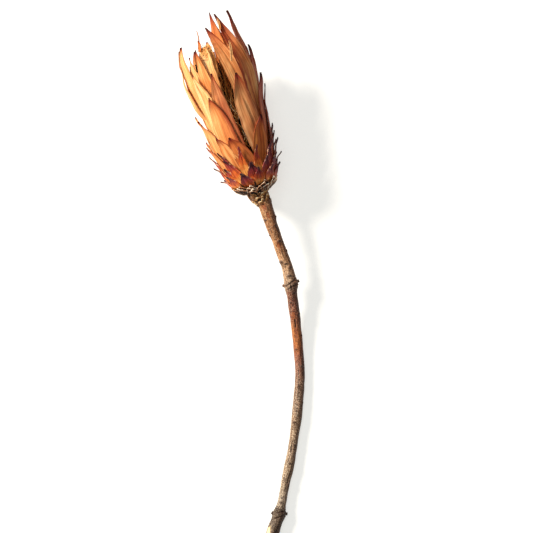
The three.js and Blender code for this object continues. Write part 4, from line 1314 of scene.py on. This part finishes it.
# Wool at the top of the slit: whitish, tangled, with one long whisker.
WOOL, WOOL_RADIUS, WOOL_TONE, WOOL_TAPER = 36, 0.13, 0.86, 0.5
WOOL_FROM, WOOL_TO, WOOL_LOW, WOOL_REACH = -24, -7, 84, 5
WOOL_LOW_OFF, WOOL_REACH_OFF, WOOL_WANDER, WOOL_SUNK, WOOL_RISE = 4, 2.5, 9, 0.6, 1.2
WHISKER_RADIUS, WHISKER_TONE, WHISKER_LOW, WHISKER_TIP = 0.55, 0.6, 88, 98.5
WHISKER_FROM, WHISKER_TO, WHISKER_OFF, WHISKER_SWAY = -24, -20, 0.8, 2
for i in range(WOOL):
    azimuth = mix(WOOL_FROM, WOOL_TO, (next(draw) + 1) / 2)
    low = WOOL_LOW + WOOL_LOW_OFF * next(draw)
    reach = WOOL_REACH + WOOL_REACH_OFF * next(draw)
    wander = WOOL_WANDER * next(draw)

    def wool_path(t):
        h = low + reach * t * (1 - 0.4 * t)
        radius = along(INNER_FACE, h) - WOOL_SUNK + WOOL_RISE * t
        return head_point(h, radius, azimuth + wander * math.sin(3 * t) + 3 * math.sin(9 * t + i))

    hairs.append(grow_thread(wool_path, lambda t: WOOL_RADIUS * (1 - WOOL_TAPER * t), WOOL_TONE))


def whisker_path(t):
    h = mix(WHISKER_LOW, WHISKER_TIP, t)
    azimuth = mix(WHISKER_FROM, WHISKER_TO, t) + WHISKER_SWAY * math.sin(3 * t)
    return head_point(h, along(INNER_FACE, h) + WHISKER_OFF + t, azimuth)


hairs.append(grow_thread(whisker_path, lambda t: WHISKER_RADIUS * (1 - HAIR_TAPER * t), WHISKER_TONE))
hairs = join_pieces(hairs, "floret_hairs")

# Dried floret: brittle and dull, dark brown in the bundle and darkened to near black as painted shade of
# the deep slit, straw to white in the hairs, partly painted light where they lie in its shade.
straw, tree = empty_material("dry_floret_tube")
place = add_node(tree, "TexCoord", {}, {}, 3)
shade = attribute(tree, "tone", 2)
mottle = noise_texture(tree, place, 0.4 / MM, 3.0)
depth = reckon(tree, "MULTIPLY_ADD", mottle, 0.4, -0.2)
depth = reckon(tree, "ADD", depth, shade)
straw_colour = ramp(tree, depth, [
    (0.05, "#0e0301"), (0.28, "#351104"), (0.55, "#8e4413"), (0.75, "#cc8640"), (0.93, "#f4c078"),
    (1.0, "#fae0b4"),
])
straw_shader = add_node(tree, "BsdfPrincipled", {}, {
    "Base Color": straw_colour, "Roughness": 0.7, "Specular IOR Level": 0.08,
})
add_node(tree, "OutputMaterial", {}, {"Surface": straw_shader})
for piece in (floret_bundle, core, hairs):
    piece.data.materials.append(straw)
    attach(piece, "root")
    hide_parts("florets")

for blank in (small_blank, scale_blank, bract_blank, thread_blank):
    bpy.data.objects.remove(blank)


# Camera: looks down on the flower at the photograph's angle, from far enough for a flat view.
PHOTO_SIDE_PX, MM_PER_PX = 533, 0.58
CAMERA_TARGET = Vector((14.23, 8.1, 18.0))
CAMERA_DISTANCE, CAMERA_TILT = 1150, math.radians(6)
SENSOR = 36
look = Vector((0, math.sin(CAMERA_TILT), -math.cos(CAMERA_TILT)))
camera_data = bpy.data.cameras.new("camera")
camera_data.sensor_width = SENSOR
camera_data.lens = SENSOR * CAMERA_DISTANCE / (PHOTO_SIDE_PX * MM_PER_PX)
camera_data.clip_end = 10
camera = bpy.data.objects.new("camera", camera_data)
camera.location = (CAMERA_TARGET - look * CAMERA_DISTANCE) * MM
camera.rotation_euler = (CAMERA_TILT, 0, 0)
bpy.context.collection.objects.link(camera)
bpy.context.scene.camera = camera


# Floor and light: a plain near-white surface under a strong soft key light from the left, a weak fill
# from above and a dim pale surround.
FLOOR_SIDE, SURROUND_STRENGTH = 6, 0.17
bpy.ops.mesh.primitive_plane_add(size=FLOOR_SIDE)
floor = bpy.context.object
floor.name = "floor"
white, tree = empty_material("white_paper_floor")
place = add_node(tree, "TexCoord", {}, {}, 3)
paper_tooth = noise_texture(tree, place, 0.3 / MM, 2.0)
paper_colour = ramp(tree, paper_tooth, [(0.3, "#bdbdbb"), (0.7, "#c0c0be")])
paper_shader = add_node(tree, "BsdfPrincipled", {}, {
    "Base Color": paper_colour, "Roughness": 0.9, "Specular IOR Level": 0.1,
    "Emission Color": "#fdfdf8", "Emission Strength": 0.64,
})
add_node(tree, "OutputMaterial", {}, {"Surface": paper_shader})
floor.data.materials.append(white)


def add_light(name, place, size, power, colour):
    """A square area light in metres that faces the flower."""
    data = bpy.data.lights.new(name, "AREA")
    data.shape = "SQUARE"
    data.size, data.energy, data.color = size, power, linear(colour)[:3]
    light = bpy.data.objects.new(name, data)
    light.location = place
    aim = CAMERA_TARGET * MM - light.location
    light.rotation_euler = aim.to_track_quat("-Z", "Y").to_euler()
    bpy.context.collection.objects.link(light)


add_light("key", (-1.25, 0.6, 0.9), 0.42, 56, "#fff6ea")
add_light("top", (-0.2, 0.2, 1.9), 1.2, 9, "#ffffff")
world = bpy.data.worlds.new("surround")
world.use_nodes = True
world.node_tree.nodes["Background"].inputs["Color"].default_value = linear("#f7f8fb")
world.node_tree.nodes["Background"].inputs["Strength"].default_value = SURROUND_STRENGTH
bpy.context.scene.world = world
bpy.context.scene.view_settings.view_transform = "Standard"
